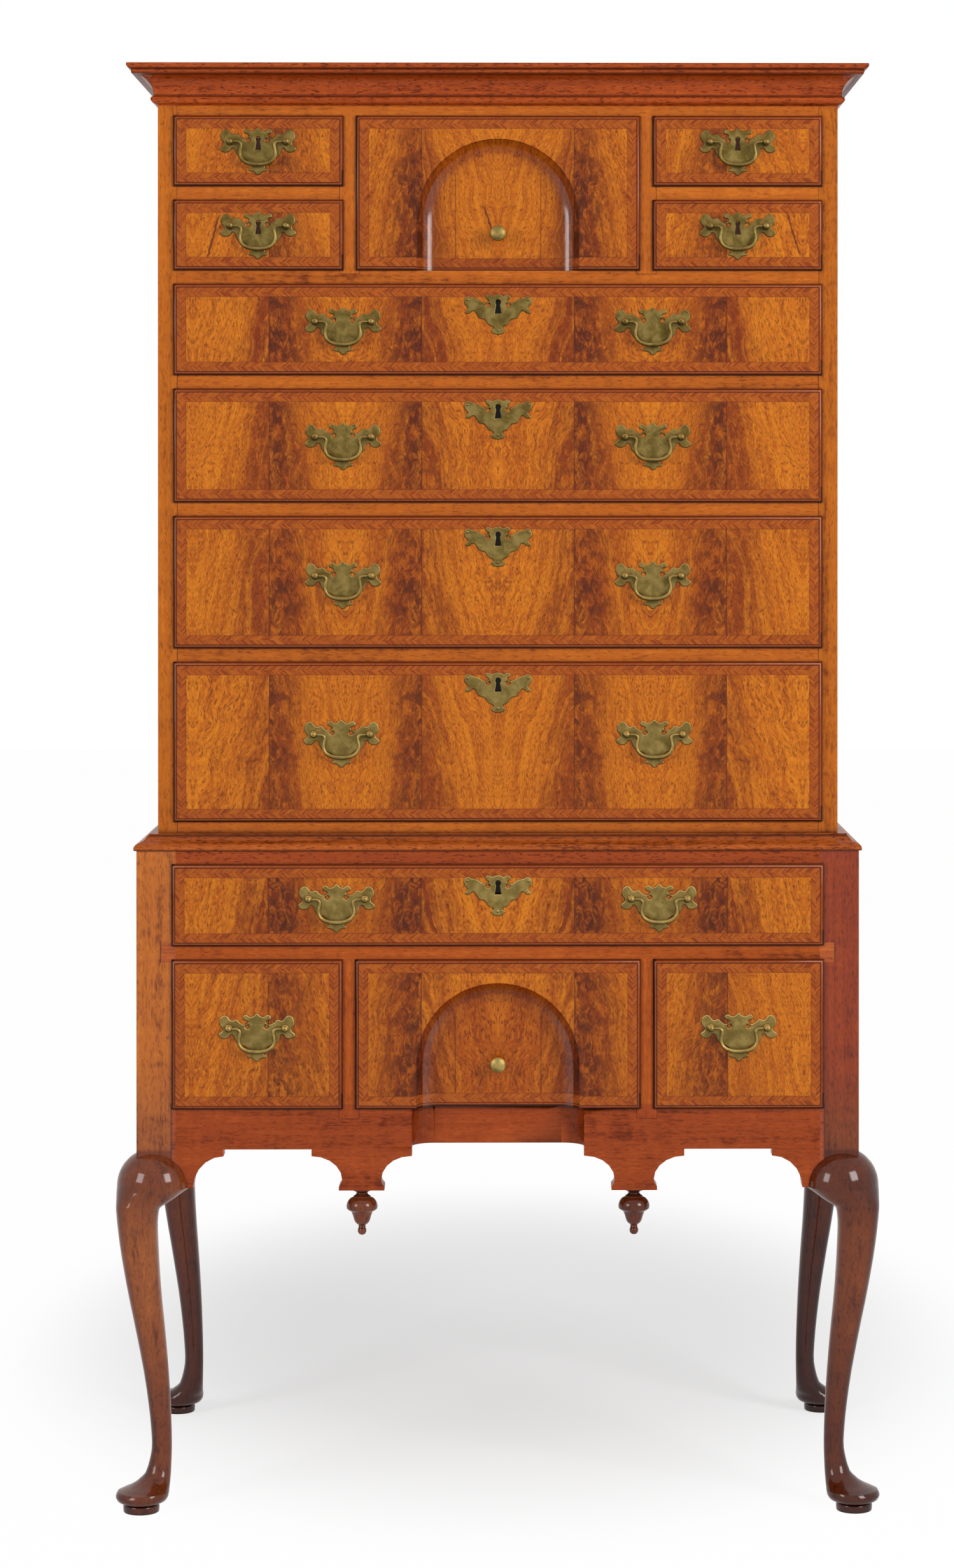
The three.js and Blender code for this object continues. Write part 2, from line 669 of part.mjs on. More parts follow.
function pullPlate(withKeyhole) {
  const outline = wholeOutline(plateShares, plateHalfWidth, plateHeight);
  const [acrossShare, upShare] = plateHoleShares;
  const holes = [-1, 1].map((side) => circle(side * acrossShare * plateHalfWidth, upShare * plateHeight,
    plateHoleRadius, boreSides));
  if (withKeyhole) {
    holes.push(keyholeOutline(0, smallKeyholeRadius, smallKeyholeRadius, smallKeyholeHeight,
      smallKeyholeFootWidth));
  }
  let plate = prism('y', outline, -plateThickness, 0, holes);
  const ballZ = pullPostLength - pullBallRadius;
  const ball = scaled(ballShares, pullBallRadius, pullBallRadius).map(([r, z]) => [r, ballZ + z]);
  const section = [[0, 0], [pullPostRadius, 0], ...ball];
  for (const side of [-1, 1]) {
    const post = solid(turned(section, pullPostSides).rotateX(Math.PI / 2)
      .translate((side * postSpacing) / 2, 0, 0));
    const inner = postSpacing / 2 - pullPostRadius - overrun;
    const blind = postSpacing / 2 - pullPostRadius + bailPinEntry + bailPinClearance;
    const holeRadius = (bailPinRadius + bailPinClearance) / Math.cos(Math.PI / rodSides);
    const hole = circle(-pivotStandoff, 0, holeRadius, rodSides);
    const from = side < 0 ? -blind : inner;
    const to = side < 0 ? -inner : blind;
    plate = cut(join(plate, post), prism('x', hole, from, to));
  }
  return plate;
}

// The bail hangs from its two pins, which lie along x through the origin
function bail() {
  const pinEnd = postSpacing / 2 - pullPostRadius + bailPinEntry;
  const stations = [
    [pinEnd, 0, bailPinRadius], [bailHalfWidth + 2 * bailRodRadius, 0, bailPinRadius],
    ...scaled(bailSideShares, bailHalfWidth, bailDrop).map(([x, z]) => [x, z, bailRodRadius]),
    ...scaled(bailMiddleShares, bailHalfWidth, bailDrop).map(([x, z]) => [x, z, bailMiddleRadius]),
  ];
  const path = [...stations.map(([x, z, r]) => [-x, z, r]), ...stations.reverse()];
  const geometry = new THREE.CylinderGeometry(1, 1, 1, rodSides, path.length - 1);
  const points = geometry.attributes.position;
  for (let i = 0; i < points.count; i += 1) {
    const level = Math.round((points.getY(i) + 1 / 2) * (path.length - 1));
    const [x, z, radius] = path[level];
    const before = path[Math.max(level - 1, 0)];
    const after = path[Math.min(level + 1, path.length - 1)];
    const along = new THREE.Vector2(after[0] - before[0], after[1] - before[1]).normalize();
    const out = points.getX(i) * radius;
    points.setXYZ(i, x - along.y * out, points.getZ(i) * radius, z + along.x * out);
  }
  return solid(geometry);
}

function knob() {
  const section = scaled(knobShares, knobRadius, knobLength);
  return turned([[0, 0], ...section, [0, knobLength]], turnedSides).rotateX(Math.PI / 2);
}

// Assembly

const caseFrames = [
  ['upper_carcass', upperCarcass, caseWood],
  ['upper_back', upperBack, plainWood],
  ['upper_front_frame', upperFrontFrame, frontWood],
  ['cornice', cornice, mouldingWood],
  ['waist_moulding', waistMoulding, mouldingWood],
  ['lower_carcass', lowerCarcass, caseWood],
  ['lower_front_frame', lowerFrontFrame, mouldingWood],
];
for (const [name, make, material] of caseFrames) {
  piece(highboy, name, toGeometry(make()), material());
}

const legGeometry = toGeometry(leg());
const corners = [['front_left', -1, 1], ['front_right', 1, 1], ['rear_left', -1, -1], ['rear_right', 1, -1]];
for (const [name, across, along] of corners) {
  const place = [across * halfLower, along > 0 ? 0 : lowerDepth, 0];
  piece(highboy, `leg_${name}`, reflected(legGeometry, -across, along), legWood(), place);
}

const pendantGeometry = toGeometry(solid(pendant()));
for (const [side, across] of [['left', -1], ['right', 1]]) {
  piece(highboy, `pendant_${side}`, pendantGeometry, legWood(),
    [across * tongueCentre, apronThickness / 2, legHeight - tongueDrop - plinthHeight]);
}

const plainPlate = toGeometry(pullPlate(false));
const keyholePlate = toGeometry(pullPlate(true));
const bailGeometry = toGeometry(bail());

function addPulls(group, name, offsets, z, geometry) {
  for (const [side, x] of offsets) {
    const tag = side === '' ? name : `${name}_${side}`;
    piece(group, `plate_${tag}`, geometry, brass(), [x, -lipProud, z]);
    piece(group, `bail_${tag}`, bailGeometry, brass(), [x, -lipProud - pivotStandoff, z]);
  }
}

function addDrawer(name, centre, bottom, front, body) {
  const group = new THREE.Group();
  group.position.set(centre, front, bottom);
  piece(group, `drawer_${name}`, toGeometry(body), frontWood());
  highboy.add(group);
  return group;
}

const upperDrawerDepth = lowerDepth - backThickness - upperFront - rearClearance;
const lowerDrawerDepth = lowerDepth - backThickness - rearClearance;
const sideWidth = halfOpening - innerOpening + 2 * lipOverlap;
const sideCentre = (halfOpening + innerOpening) / 2;
const longWidth = 2 * (halfOpening + lipOverlap);
const centreWidth = centreOpening + 2 * lipOverlap;

for (const [side, across] of [['left', -1], ['right', 1]]) {
  for (const [level, bottom] of [['lower', smallBottom], ['upper', smallUpperBottom]]) {
    const name = `top_${side}_${level}`;
    const body = drawer(sideWidth, smallHeight, upperDrawerDepth, frontThickness);
    const group = addDrawer(name, across * sideCentre, bottom, upperFront, body);
    addPulls(group, name, [['', 0]], smallHeight * smallPullShare, keyholePlate);
  }
  const name = `lower_${side}`;
  const body = drawer(sideWidth, lowerSquareHeight, lowerDrawerDepth, frontThickness);
  const group = addDrawer(name, across * sideCentre, apronTop, 0, body);
  addPulls(group, name, [['', 0]], lowerSquareHeight * squarePullShare, plainPlate);
}

function addCentreDrawer(name, height, bottom, front, depth, knobDrop) {
  const body = drawer(centreWidth, height, depth, nicheFrontThickness);
  const niche = nicheCutter(nicheHalfWidth, -lipProud, -overrun, height - nicheTopMargin);
  const group = addDrawer(name, 0, bottom, front, cut(body, niche));
  piece(group, `knob_${name}`, toGeometry(solid(knob())), brass(), [0, nicheDepth - lipProud,
    height - knobDrop]);
}

const tallHeight = topRowTop - smallBottom;
addCentreDrawer('top_centre', tallHeight, smallBottom, upperFront, upperDrawerDepth, upperKnobDrop);
addCentreDrawer('lower_centre', lowerSquareHeight, apronTop, 0, lowerDrawerDepth, lowerKnobDrop);

function addLongDrawer(name, height, bottom, front, depth, offset, pullShare) {
  const { plate, cuts } = escutcheon(height);
  const body = cut(join(drawer(longWidth, height, depth, frontThickness), plate), ...cuts);
  const group = addDrawer(name, 0, bottom, front, body);
  addPulls(group, name, [['left', -offset], ['right', offset]], height * pullShare, plainPlate);
}

longHeights.forEach((height, index) => {
  const offset = index === 0 ? lowPullOffset : longPullOffset;
  addLongDrawer(`long_${longHeights.length - index}`, height, longBottoms[index], upperFront,
    upperDrawerDepth, offset, longPullShares[index]);
});
addLongDrawer('lower_long', lowerLongHeight, lowerBladeZ, 0, lowerDrawerDepth, lowerLongPullOffset,
  lowerLongPullShare);

// The origin is under the middle of the whole
const reach = new THREE.Box3().setFromObject(highboy);
highboy.position.y = -(reach.min.y + reach.max.y) / 2;

export default highboy;
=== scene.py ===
"""A flat-top walnut highboy, dressed for a studio picture: veneered and banded drawer fronts, polished walnut
frames and mouldings, cabriole legs, turned pendants and patinated brass, on a pale floor."""

import math

import bmesh
import bpy
from bpy.props import FloatProperty, FloatVectorProperty, PointerProperty
from mathutils import Matrix, Vector


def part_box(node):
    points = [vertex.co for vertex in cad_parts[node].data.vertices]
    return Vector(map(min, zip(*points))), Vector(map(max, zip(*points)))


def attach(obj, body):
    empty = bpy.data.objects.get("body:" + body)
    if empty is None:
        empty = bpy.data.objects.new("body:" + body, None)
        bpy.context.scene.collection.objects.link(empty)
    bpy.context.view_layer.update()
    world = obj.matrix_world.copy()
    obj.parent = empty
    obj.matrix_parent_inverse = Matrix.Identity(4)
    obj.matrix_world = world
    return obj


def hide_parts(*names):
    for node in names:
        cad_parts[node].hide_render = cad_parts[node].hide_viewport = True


bl_info = {
    "name": "Walnut Highboy",
    "version": (1, 0, 0),
    "blender": (4, 5, 0),
    "location": "3D View > Sidebar > Highboy",
    "description": "Builds the visible pieces and finishes of a flat-top walnut highboy",
    "category": "Add Mesh",
}

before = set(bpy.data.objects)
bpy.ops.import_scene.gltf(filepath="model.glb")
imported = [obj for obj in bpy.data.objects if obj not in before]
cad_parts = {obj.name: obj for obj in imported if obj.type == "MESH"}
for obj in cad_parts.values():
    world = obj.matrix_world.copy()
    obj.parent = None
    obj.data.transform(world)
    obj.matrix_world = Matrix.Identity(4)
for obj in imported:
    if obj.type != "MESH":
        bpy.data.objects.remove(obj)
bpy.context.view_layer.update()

# Lines of the case, taken from the frame
UPPER_LOW, UPPER_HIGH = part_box("upper_carcass")
LOWER_LOW, LOWER_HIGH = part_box("lower_carcass")
UPPER_FRONT = UPPER_LOW.y
LOWER_FRONT = LOWER_LOW.y
OPENING_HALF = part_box("lower_front_frame")[1].x
DIVIDER_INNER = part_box("drawer_top_centre")[1].x - 0.005
DIVIDER_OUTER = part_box("drawer_top_right_upper")[0].x + 0.005
TINY = 1e-5
# How far a cutter reaches past the wood that it cuts
OVERCUT = 0.004
# Fineness of the rounded forms
COVE_STEPS = 14
ARCH_STEPS = 36
BLOCK_STEPS = 12
LEG_SIDES = 48

# Outlines as shares of the sizes that they follow, on a smooth line where they are smoothed later.
# The brass outlines are right halves from top to bottom, about the line of the posts or of the two holes.
PLATE_SHARES = [
    (0, 0.306), (0.084, 0.254), (0.185, 0.235), (0.286, 0.279), (0.358, 0.238), (0.353, 0.186),
    (0.264, 0.162), (0.24, 0.113), (0.319, 0.075), (0.445, 0.116), (0.529, 0.177), (0.655, 0.156),
    (0.807, 0.263), (0.908, 0.238), (0.966, 0.15), (0.963, 0.075), (0.882, -0.034), (0.992, -0.136),
    (0.958, -0.186), (0.84, -0.218), (0.739, -0.19), (0.655, -0.122), (0.546, -0.265), (0.479, -0.327),
    (0.303, -0.381), (0.173, -0.531), (0.252, -0.581), (0.109, -0.626), (0, -0.694),
]
PLATE_HOLE_SHARE = (0.247, 0.034)
ESCUTCHEON_SHARES = [
    (0, 0.273), (0.101, 0.252), (0.173, 0.23), (0.273, 0.267), (0.36, 0.233), (0.345, 0.164),
    (0.288, 0.133), (0.273, 0.079), (0.371, 0.055), (0.514, 0.106), (0.597, 0.152), (0.766, 0.182),
    (0.892, 0.227), (0.982, 0.167), (0.989, 0.036), (0.892, -0.076), (0.971, -0.182), (0.899, -0.212),
    (0.719, -0.136), (0.633, -0.218), (0.55, -0.318), (0.396, -0.355), (0.288, -0.479), (0.129, -0.576),
    (0.209, -0.627), (0, -0.727),
]
ESCUTCHEON_HOLE_SHARE = (0.299, 0.006)
ESCUTCHEON_BRAD_SHARES = [(-0.9, 0.14), (0.9, 0.14), (0, -0.62)]
# Keyhole: shares of its round part's radius across, and of its whole height up from the foot
KEYHOLE_SHARES = [(-1.1, 0), (-0.66, 0.62), (-1, 0.79), (-0.71, 0.94), (0, 1), (0.71, 0.94), (1, 0.79),
                  (0.66, 0.62), (1.1, 0)]
# Cornice section in runs from its foot up: shares of the reach and of the height
CORNICE_RUNS = [
    [(0, 0), (0.05, 0.03), (0.13, 0.055), (0.205, 0.1), (0.235, 0.16), (0.205, 0.205), (0.14, 0.228)],
    [(0.13, 0.25), (0.148, 0.37), (0.21, 0.49), (0.31, 0.59), (0.46, 0.675), (0.63, 0.72), (0.81, 0.74)],
    [(0.84, 0.755), (0.84, 0.85)],
    [(0.845, 0.853), (0.9, 0.862), (0.955, 0.885), (0.99, 0.925), (1, 0.965), (0.985, 0.99), (0.955, 1)],
]
# Waist moulding section in runs from its foot up: shares of the reach and of the height
WAIST_RUNS = [
    [(0.965, 0), (0.99, 0.03), (1, 0.12), (0.985, 0.24), (0.93, 0.35), (0.86, 0.42), (0.76, 0.48),
     (0.67, 0.53), (0.59, 0.59), (0.53, 0.68), (0.48, 0.78), (0.42, 0.88)],
    [(0.37, 0.9), (0.37, 1)],
]
# Turned pendant from its seat down, in runs: shares of the radius and of the length
PENDANT_RUNS = [
    [(0.6, 0), (0.63, 0.012), (0.61, 0.035), (0.5, 0.05)],
    [(0.42, 0.062), (0.36, 0.095), (0.4, 0.125), (0.53, 0.158)],
    [(0.56, 0.168), (0.56, 0.182)],
    [(0.62, 0.19), (0.78, 0.22), (0.9, 0.27), (0.975, 0.325), (1, 0.385), (0.975, 0.43), (0.89, 0.455),
     (0.76, 0.478)],
    [(0.69, 0.497), (0.64, 0.535), (0.58, 0.59), (0.53, 0.65), (0.46, 0.71), (0.36, 0.752), (0.25, 0.776)],
    [(0.23, 0.79), (0.225, 0.815), (0.245, 0.835)],
    [(0.2, 0.842), (0.265, 0.87), (0.28, 0.905), (0.25, 0.95), (0.17, 0.982), (0, 1)],
]
# Turned knob from the wood outwards: shares of the radius and of the length
KNOB_RUNS = [
    [(0.75, 0), (0.78, 0.04), (0.7, 0.085)],
    [(0.52, 0.1), (0.38, 0.2), (0.35, 0.3), (0.4, 0.42), (0.62, 0.52), (0.86, 0.6), (0.98, 0.68), (1, 0.77),
     (0.975, 0.86), (0.93, 0.905), (0.86, 0.92)],
    [(0.83, 0.905), (0.6, 0.95), (0.3, 0.985), (0, 1)],
]
# Ball-headed post of a pull from the plate outwards: shares of the ball's radius and of the post's length
POST_RUNS = [
    [(1.15, 0), (1.12, 0.1), (0.86, 0.2), (0.78, 0.32), (0.84, 0.44), (0.97, 0.56), (1, 0.7), (0.9, 0.84),
     (0.62, 0.95), (0.3, 0.99), (0, 1)],
]
# Bail from one pin's inner end to the middle: shares of the half width, of the drop and of the rod's radius
BAIL_SHARES = [
    (1.56, 0, 0.7), (1.42, 0, 0.7), (1.3, 0, 0.78), (1.1, -0.012, 0.95), (0.97, -0.08, 1.05),
    (0.94, -0.2, 0.95), (0.985, -0.4, 0.95), (1, -0.58, 1), (0.93, -0.74, 1.1), (0.78, -0.86, 1.2),
    (0.54, -0.95, 1.28), (0.28, -0.99, 1.3), (0, -1, 1.3),
]
# Cabriole leg from the disc up: shares of the leg's height, the outer and inner outlines as shares of the
# post's width measured inwards from its outer face, and the squareness of the section there
LEG_SHARES = [
    (0, -0.335, 0.56, 2), (0.003, -0.347, 0.572, 2), (0.015, -0.352, 0.577, 2), (0.0185, -0.345, 0.57, 2),
    (0.021, -0.31, 0.536, 2), (0.0235, -0.34, 0.566, 2), (0.028, -0.45, 0.68, 2),
    (0.036, -0.525, 0.775, 2), (0.043, -0.544, 0.805, 2), (0.05, -0.525, 0.815, 2),
    (0.057, -0.43, 0.818, 2), (0.066, -0.2, 0.822, 2), (0.082, 0.045, 0.828, 2),
    (0.115, 0.245, 0.84, 2.1), (0.16, 0.33, 0.85, 2.1), (0.218, 0.315, 0.845, 2.2),
    (0.33, 0.205, 0.805, 2.3), (0.47, -0.005, 0.72, 2.4), (0.63, -0.275, 0.6, 2.5),
    (0.74, -0.43, 0.552, 2.5), (0.8, -0.492, 0.542, 2.45), (0.828, -0.515, 0.565, 2.4),
    (0.843, -0.525, 0.64, 2.3), (0.852, -0.531, 0.78, 2.2), (0.863, -0.535, 0.95, 2.1),
    (0.878, -0.54, 1.155, 2.04), (0.8933, -0.542, 1.388, 2),
]
# Dome of the knee about its upright axis: shares of the knee's radius
KNEE_SHARES = [
    (0.997, 0.06), (0.985, 0.17), (0.94, 0.34), (0.87, 0.5), (0.77, 0.64), (0.63, 0.78), (0.45, 0.89),
    (0.24, 0.97), (0.02, 1),
]

# Dark plumes in the veneer of the fronts: their strength, their spread and the strength of inner streaks
PLUMES = {"long_1": (1, 1.1, 1), "long_2": (0.9, 0.9, 1), "long_3": (0.85, 1.2, 1), "long_4": (0.8, 0.9, 1),
          "lower_long": (1, 1.3, 1), "top_centre": (1, 0.85, 0.75), "lower_centre": (0.95, 1.1, 0.6),
          "lower_left": (0.75, 1.25, 0.5), "lower_right": (0.75, 1.25, 0.5)}
PLAIN_FIGURE = (0.7, 1, 0.5)
# Old cracks in the small fronts, from foot to top: places across and up
SCARS = [((-0.3618, 1.558), (-0.347, 1.612)), ((0.3762, 1.5612), (0.3604, 1.6152)),
         ((-0.0035, 1.5834), (-0.0182, 1.6247))]

DRAWERS = sorted(name[7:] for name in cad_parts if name.startswith("drawer_"))
PULLS = sorted(name[6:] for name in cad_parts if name.startswith("plate_"))
LOCKED = [name for name in DRAWERS if "long" in name]
NICHED = [name for name in DRAWERS if "centre" in name]


# Settings that a user would change

def length(label, about, default):
    """A length in metres."""
    return FloatProperty(name=label, description=about, default=default, unit="LENGTH", precision=4)


def linear_colour(label, about, red, green, blue):
    """A colour in linear light."""
    return FloatVectorProperty(name=label, description=about, subtype="COLOR", size=4,
                               default=(red, green, blue, 1))


def settings(group):
    """The scene's settings of one group: joinery, brass, timber or stage."""
    return getattr(bpy.context.scene, "highboy_" + group)


class HIGHBOY_PG_joinery(bpy.types.PropertyGroup):
    """Sizes of the woodwork."""
    lip_overlap: length("Lip Overlap", "How far a drawer lip laps the case", 0.005)
    lip_proud: length("Lip Proud", "How far a drawer face stands before the case", 0.006)
    lip_radius: length("Thumbnail Radius", "Radius of the thumbnail edge of a drawer", 0.0046)
    lip_fillet: length("Thumbnail Fillet", "Step between the thumbnail and the field", 0.0009)
    front_board: length("Front Board", "Thickness of a drawer front", 0.024)
    niche_board: length("Niched Board", "Thickness of a front with a niche", 0.04)
    thin_board: length("Drawer Side", "Thickness of the drawer sides and back", 0.012)
    bottom_board: length("Drawer Bottom", "Thickness of a drawer bottom", 0.008)
    bottom_raise: length("Bottom Raise", "Height of a drawer bottom over its side edges", 0.0043)
    back_drop: length("Back Drop", "How far a drawer back stays below its sides", 0.014)
    side_gap: length("Side Gap", "Play beside a drawer", 0.0008)
    top_gap: length("Top Gap", "Play above a drawer", 0.002)
    seat_gap: length("Seat Gap", "Play between a lip and the case", 0.0003)
    niche_half: length("Niche Half Width", "Half the width of an arched niche", 0.1015)
    niche_depth: length("Niche Depth", "Depth of an arched niche", 0.026)
    niche_cove: length("Niche Cove", "Width of the cove round a niche", 0.028)
    niche_margin: length("Niche Margin", "Wood above an arched niche", 0.029)
    apron_half: length("Apron Hollow", "Half the width of the hollow of the apron", 0.107)
    post: length("Corner Post", "Width of a leg's corner post", 0.0485)
    leg_height: length("Leg Height", "Height of a leg below the case", 0.45)
    knee_radius: length("Knee Radius", "Radius of the swelling knee", 0.0468)
    knee_setback: length("Knee Setback", "Knee axis inside the post's outer faces", 0.0205)
    knee_drop: length("Knee Drop", "Knee axis height below the case", 0.048)
    knee_fit: length("Knee Fit", "Play between a knee and the boards it laps", 0.0003)
    skirt_step: length("Skirt Step", "Rise of the skirt's upper edge over its cove", 0.0085)
    block_reach: length("Knee Block", "Reach of a knee block beside its post", 0.0215)
    cove_width: length("Cove Width", "Width of the cove beside a knee block", 0.038)
    pendant_radius: length("Pendant Radius", "Largest radius of a turned pendant", 0.0194)
    side_board: length("Side Board", "Thickness of the lower case's side boards", 0.022)


class HIGHBOY_PG_brass(bpy.types.PropertyGroup):
    """Sizes of the pulls, escutcheons and knobs."""
    post_spacing: length("Post Spacing", "Distance between the posts of a pull", 0.07)
    plate_half: length("Plate Half Width", "Half the width of a batwing plate", 0.04775)
    plate_height: length("Plate Height", "Height of a batwing plate", 0.0595)
    sheet: length("Sheet", "Thickness of plates and escutcheons", 0.0015)
    chamfer: length("Chamfer", "Width of the filed edge of the plates", 0.00074)
    plate_hole: length("Plate Hole", "Radius of the round holes of the plates", 0.0029)
    ball: length("Ball Radius", "Radius of the ball head of a post", 0.004)
    post_length: length("Post Length", "Length of a post before the drawer face", 0.0135)
    standoff: length("Pivot Standoff", "Bail axis before the drawer face", 0.0082)
    rod: length("Rod Radius", "Radius of a bail's rod at its sides", 0.002)
    bail_half: length("Bail Half Width", "Half the width of a bail's loop", 0.022)
    bail_drop: length("Bail Drop", "Drop of a bail below its pins", 0.0284)
    lock_half: length("Escutcheon Half Width", "Half the width of an escutcheon", 0.042)
    lock_height: length("Escutcheon Height", "Height of an escutcheon", 0.05)
    lock_margin: length("Escutcheon Margin", "Wood above an escutcheon", 0.0135)
    keyhole: length("Keyhole Radius", "Radius of a keyhole's round part", 0.0036)
    keyhole_height: length("Keyhole Height", "Height of a keyhole", 0.0174)
    small_keyhole: length("Small Keyhole Radius", "Radius of the small plates' keyholes", 0.0031)
    small_keyhole_height: length("Small Keyhole Height", "Height of a small keyhole", 0.0165)


class HIGHBOY_PG_timber(bpy.types.PropertyGroup):
    """Colours and pattern sizes of the finishes, in linear light."""
    veneer_light: linear_colour("Veneer Light", "Light part of the drawer veneer", 0.515, 0.139, 0.007)
    veneer_dark: linear_colour("Veneer Dark", "Dark crotch figure of the drawer veneer", 0.06, 0.011, 0.003)
    band: linear_colour("Banding", "Herringbone banding", 0.33, 0.07, 0.006)
    lip: linear_colour("Drawer Edge", "Thumbnail edge of the drawers", 0.37, 0.066, 0.006)
    # This colour also paints shade lines at the drawer lips and in the moulding quirks
    line: linear_colour("Stringing and Shade Lines", "Dark lines beside the banding", 0.07, 0.012, 0.003)
    blade: linear_colour("Blades", "Rails between the drawers", 0.43, 0.102, 0.009)
    lower_blade: linear_colour("Lower Blades", "Rails and dividers of the lower case", 0.36, 0.068, 0.007)
    stile: linear_colour("Stiles", "Front edges of the upper case", 0.43, 0.11, 0.008)
    side: linear_colour("Sides", "Sides and top of the case", 0.34, 0.07, 0.006)
    moulding: linear_colour("Mouldings", "Cornice", 0.345, 0.057, 0.008)
    waist: linear_colour("Waist", "Waist moulding", 0.37, 0.08, 0.012)
    apron: linear_colour("Apron", "Scalloped front board", 0.29, 0.048, 0.008)
    leg: linear_colour("Legs", "Legs and pendants", 0.28, 0.07, 0.013)
    pine: linear_colour("Pine", "Drawer linings and back boards", 0.46, 0.29, 0.14)
    patina: linear_colour("Patina", "Greenish brown patina of the brass", 0.094, 0.061, 0.0095)
    bright: linear_colour("Rubbed Brass", "Brass where it is rubbed bright", 0.8, 0.58, 0.2)
    band_width: length("Band Width", "Width of the herringbone banding", 0.0118)
    leaf_width: length("Veneer Leaf", "Width of one leaf of matched veneer", 0.19)


class HIGHBOY_PG_stage(bpy.types.PropertyGroup):
    """Camera and light of the studio."""
    camera_place: FloatVectorProperty(name="Camera Place", description="Where the camera stands",
                                      subtype="TRANSLATION", size=3, default=(0.0223, -4.8488, 1.2512))
    camera_yaw: FloatProperty(name="Yaw", description="Turn of the camera to the right", default=0.00941,
                              subtype="ANGLE")
    camera_pitch: FloatProperty(name="Pitch", description="Tilt of the camera upwards", default=-0.00325,
                                subtype="ANGLE")
    focal: FloatProperty(name="Focal Length", description="Focal length in millimetres", default=84.87)
    shift_x: FloatProperty(name="Shift Across", description="Lens shift across", default=-0.047)
    shift_y: FloatProperty(name="Shift Up", description="Lens shift upwards", default=-0.1709)
    key_power: FloatProperty(name="Key Lamp", description="Power of the key lamp in watts", default=100)
    side_power: FloatProperty(name="Side Lamp", description="Power of the left lamp in watts", default=56)
    sky: FloatProperty(name="Sky", description="Strength of the even light from all sides", default=0.38)
    floor_tone: FloatProperty(name="Floor Tone", description="How pale the floor is", default=0.88)


# Geometry helpers

def smooth_line(points, steps):
    """Points on a smooth line through the given ones, with tangents weighted by their distances."""
    points = [Vector(p) for p in points]
    gaps = [max((b - a).length, TINY) for a, b in zip(points, points[1:])]
    slopes = [(b - a) / gap for a, b, gap in zip(points, points[1:], gaps)]
    tangents = [slopes[0]]
    for i in range(1, len(points) - 1):
        before, after = gaps[i - 1], gaps[i]
        tangents.append((slopes[i - 1] * after + slopes[i] * before) / (before + after))
    tangents.append(slopes[-1])
    line = []
    for i, gap in enumerate(gaps):
        for step in range(steps):
            t = step / steps
            line.append(points[i] * (1 + 2 * t) * (1 - t) ** 2 + points[i + 1] * t * t * (3 - 2 * t)
                        + tangents[i] * gap * t * (1 - t) ** 2 - tangents[i + 1] * gap * t * t * (1 - t))
    line.append(points[-1])
    return line


def section_from(runs, across, up, steps=3):
    """One section from runs of shares: long runs are smoothed, and runs of two points stay straight."""
    section = []
    for run in runs:
        scaled = [(a * across, b * up) for a, b in run]
        section += smooth_line(scaled, steps) if len(scaled) > 2 else [Vector(p) for p in scaled]
    return section


def whole_outline(shares, half, height):
    """A closed outline from its right half."""
    right = [(x * half, z * height) for x, z in shares]
    left = [(-x, z) for x, z in reversed(right[1:-1])]
    return right + left


def bevelled(bm, edges, offset, segments):
    bmesh.ops.bevel(bm, geom=edges, offset=offset, offset_type="OFFSET", segments=segments, profile=0.5,
                    affect="EDGES", material=-1)


def board(bm, low, high, edge=0.0):
    """A board, whose edges may be slightly broken."""
    low, high = Vector(low), Vector(high)
    verts = bmesh.ops.create_cube(bm, size=1.0)["verts"]
    bmesh.ops.scale(bm, vec=high - low, verts=verts)
    bmesh.ops.translate(bm, vec=(high + low) / 2, verts=verts)
    if edge:
        bevelled(bm, list({e for v in verts for e in v.link_edges}), edge, 2)


def verts_in(geom):
    return [item for item in geom if isinstance(item, bmesh.types.BMVert)]


def pulled(bm, edges):
    """New vertices and edges on top of the given edges, joined to them by faces."""
    made = bmesh.ops.extrude_edge_only(bm, edges=edges)["geom"]
    verts = verts_in(made)
    edges = [item for item in made if isinstance(item, bmesh.types.BMEdge)]
    return verts, [edge for edge in edges if all(vert in verts for vert in edge.verts)]


def thickened(bm, face, move, keep=False):
    """Faces moved away from their place, with walls left behind."""
    made = bmesh.ops.extrude_face_region(bm, geom=face, use_keep_orig=keep)["geom"]
    bmesh.ops.translate(bm, vec=move, verts=verts_in(made))


def chain(bm, points):
    """Edges that join the given points in a row."""
    verts = [bm.verts.new(p) for p in points]
    edges = [bm.edges.new(pair) for pair in zip(verts, verts[1:])]
    return verts, edges


def filled(bm, points):
    """A face with the given corners."""
    verts, edges = chain(bm, points)
    edges.append(bm.edges.new((verts[-1], verts[0])))
    return bmesh.ops.contextual_create(bm, geom=edges)["faces"]


def turn_section(bm, section, centre, axis, sides):
    """A solid turned from a section of (radius, height along the axis)."""
    axis = Vector(axis)
    across = axis.orthogonal().normalized()
    points = [Vector(centre) + across * r + axis * h for r, h in section]
    if section[0][0] > TINY:
        points.insert(0, Vector(centre) + axis * section[0][1])
    if section[-1][0] > TINY:
        points.append(Vector(centre) + axis * section[-1][1])
    verts, edges = chain(bm, points)
    made = bmesh.ops.spin(bm, geom=verts + edges, axis=axis, cent=centre, dvec=(0, 0, 0), angle=2 * math.pi,
                          steps=sides, use_merge=True, use_duplicate=False)
    bmesh.ops.remove_doubles(bm, verts=bm.verts, dist=TINY / 5)
    return made


def linked(name, data):
    """A new object in the scene."""
    made = bpy.data.objects.new(name, data)
    bpy.context.scene.collection.objects.link(made)
    return made


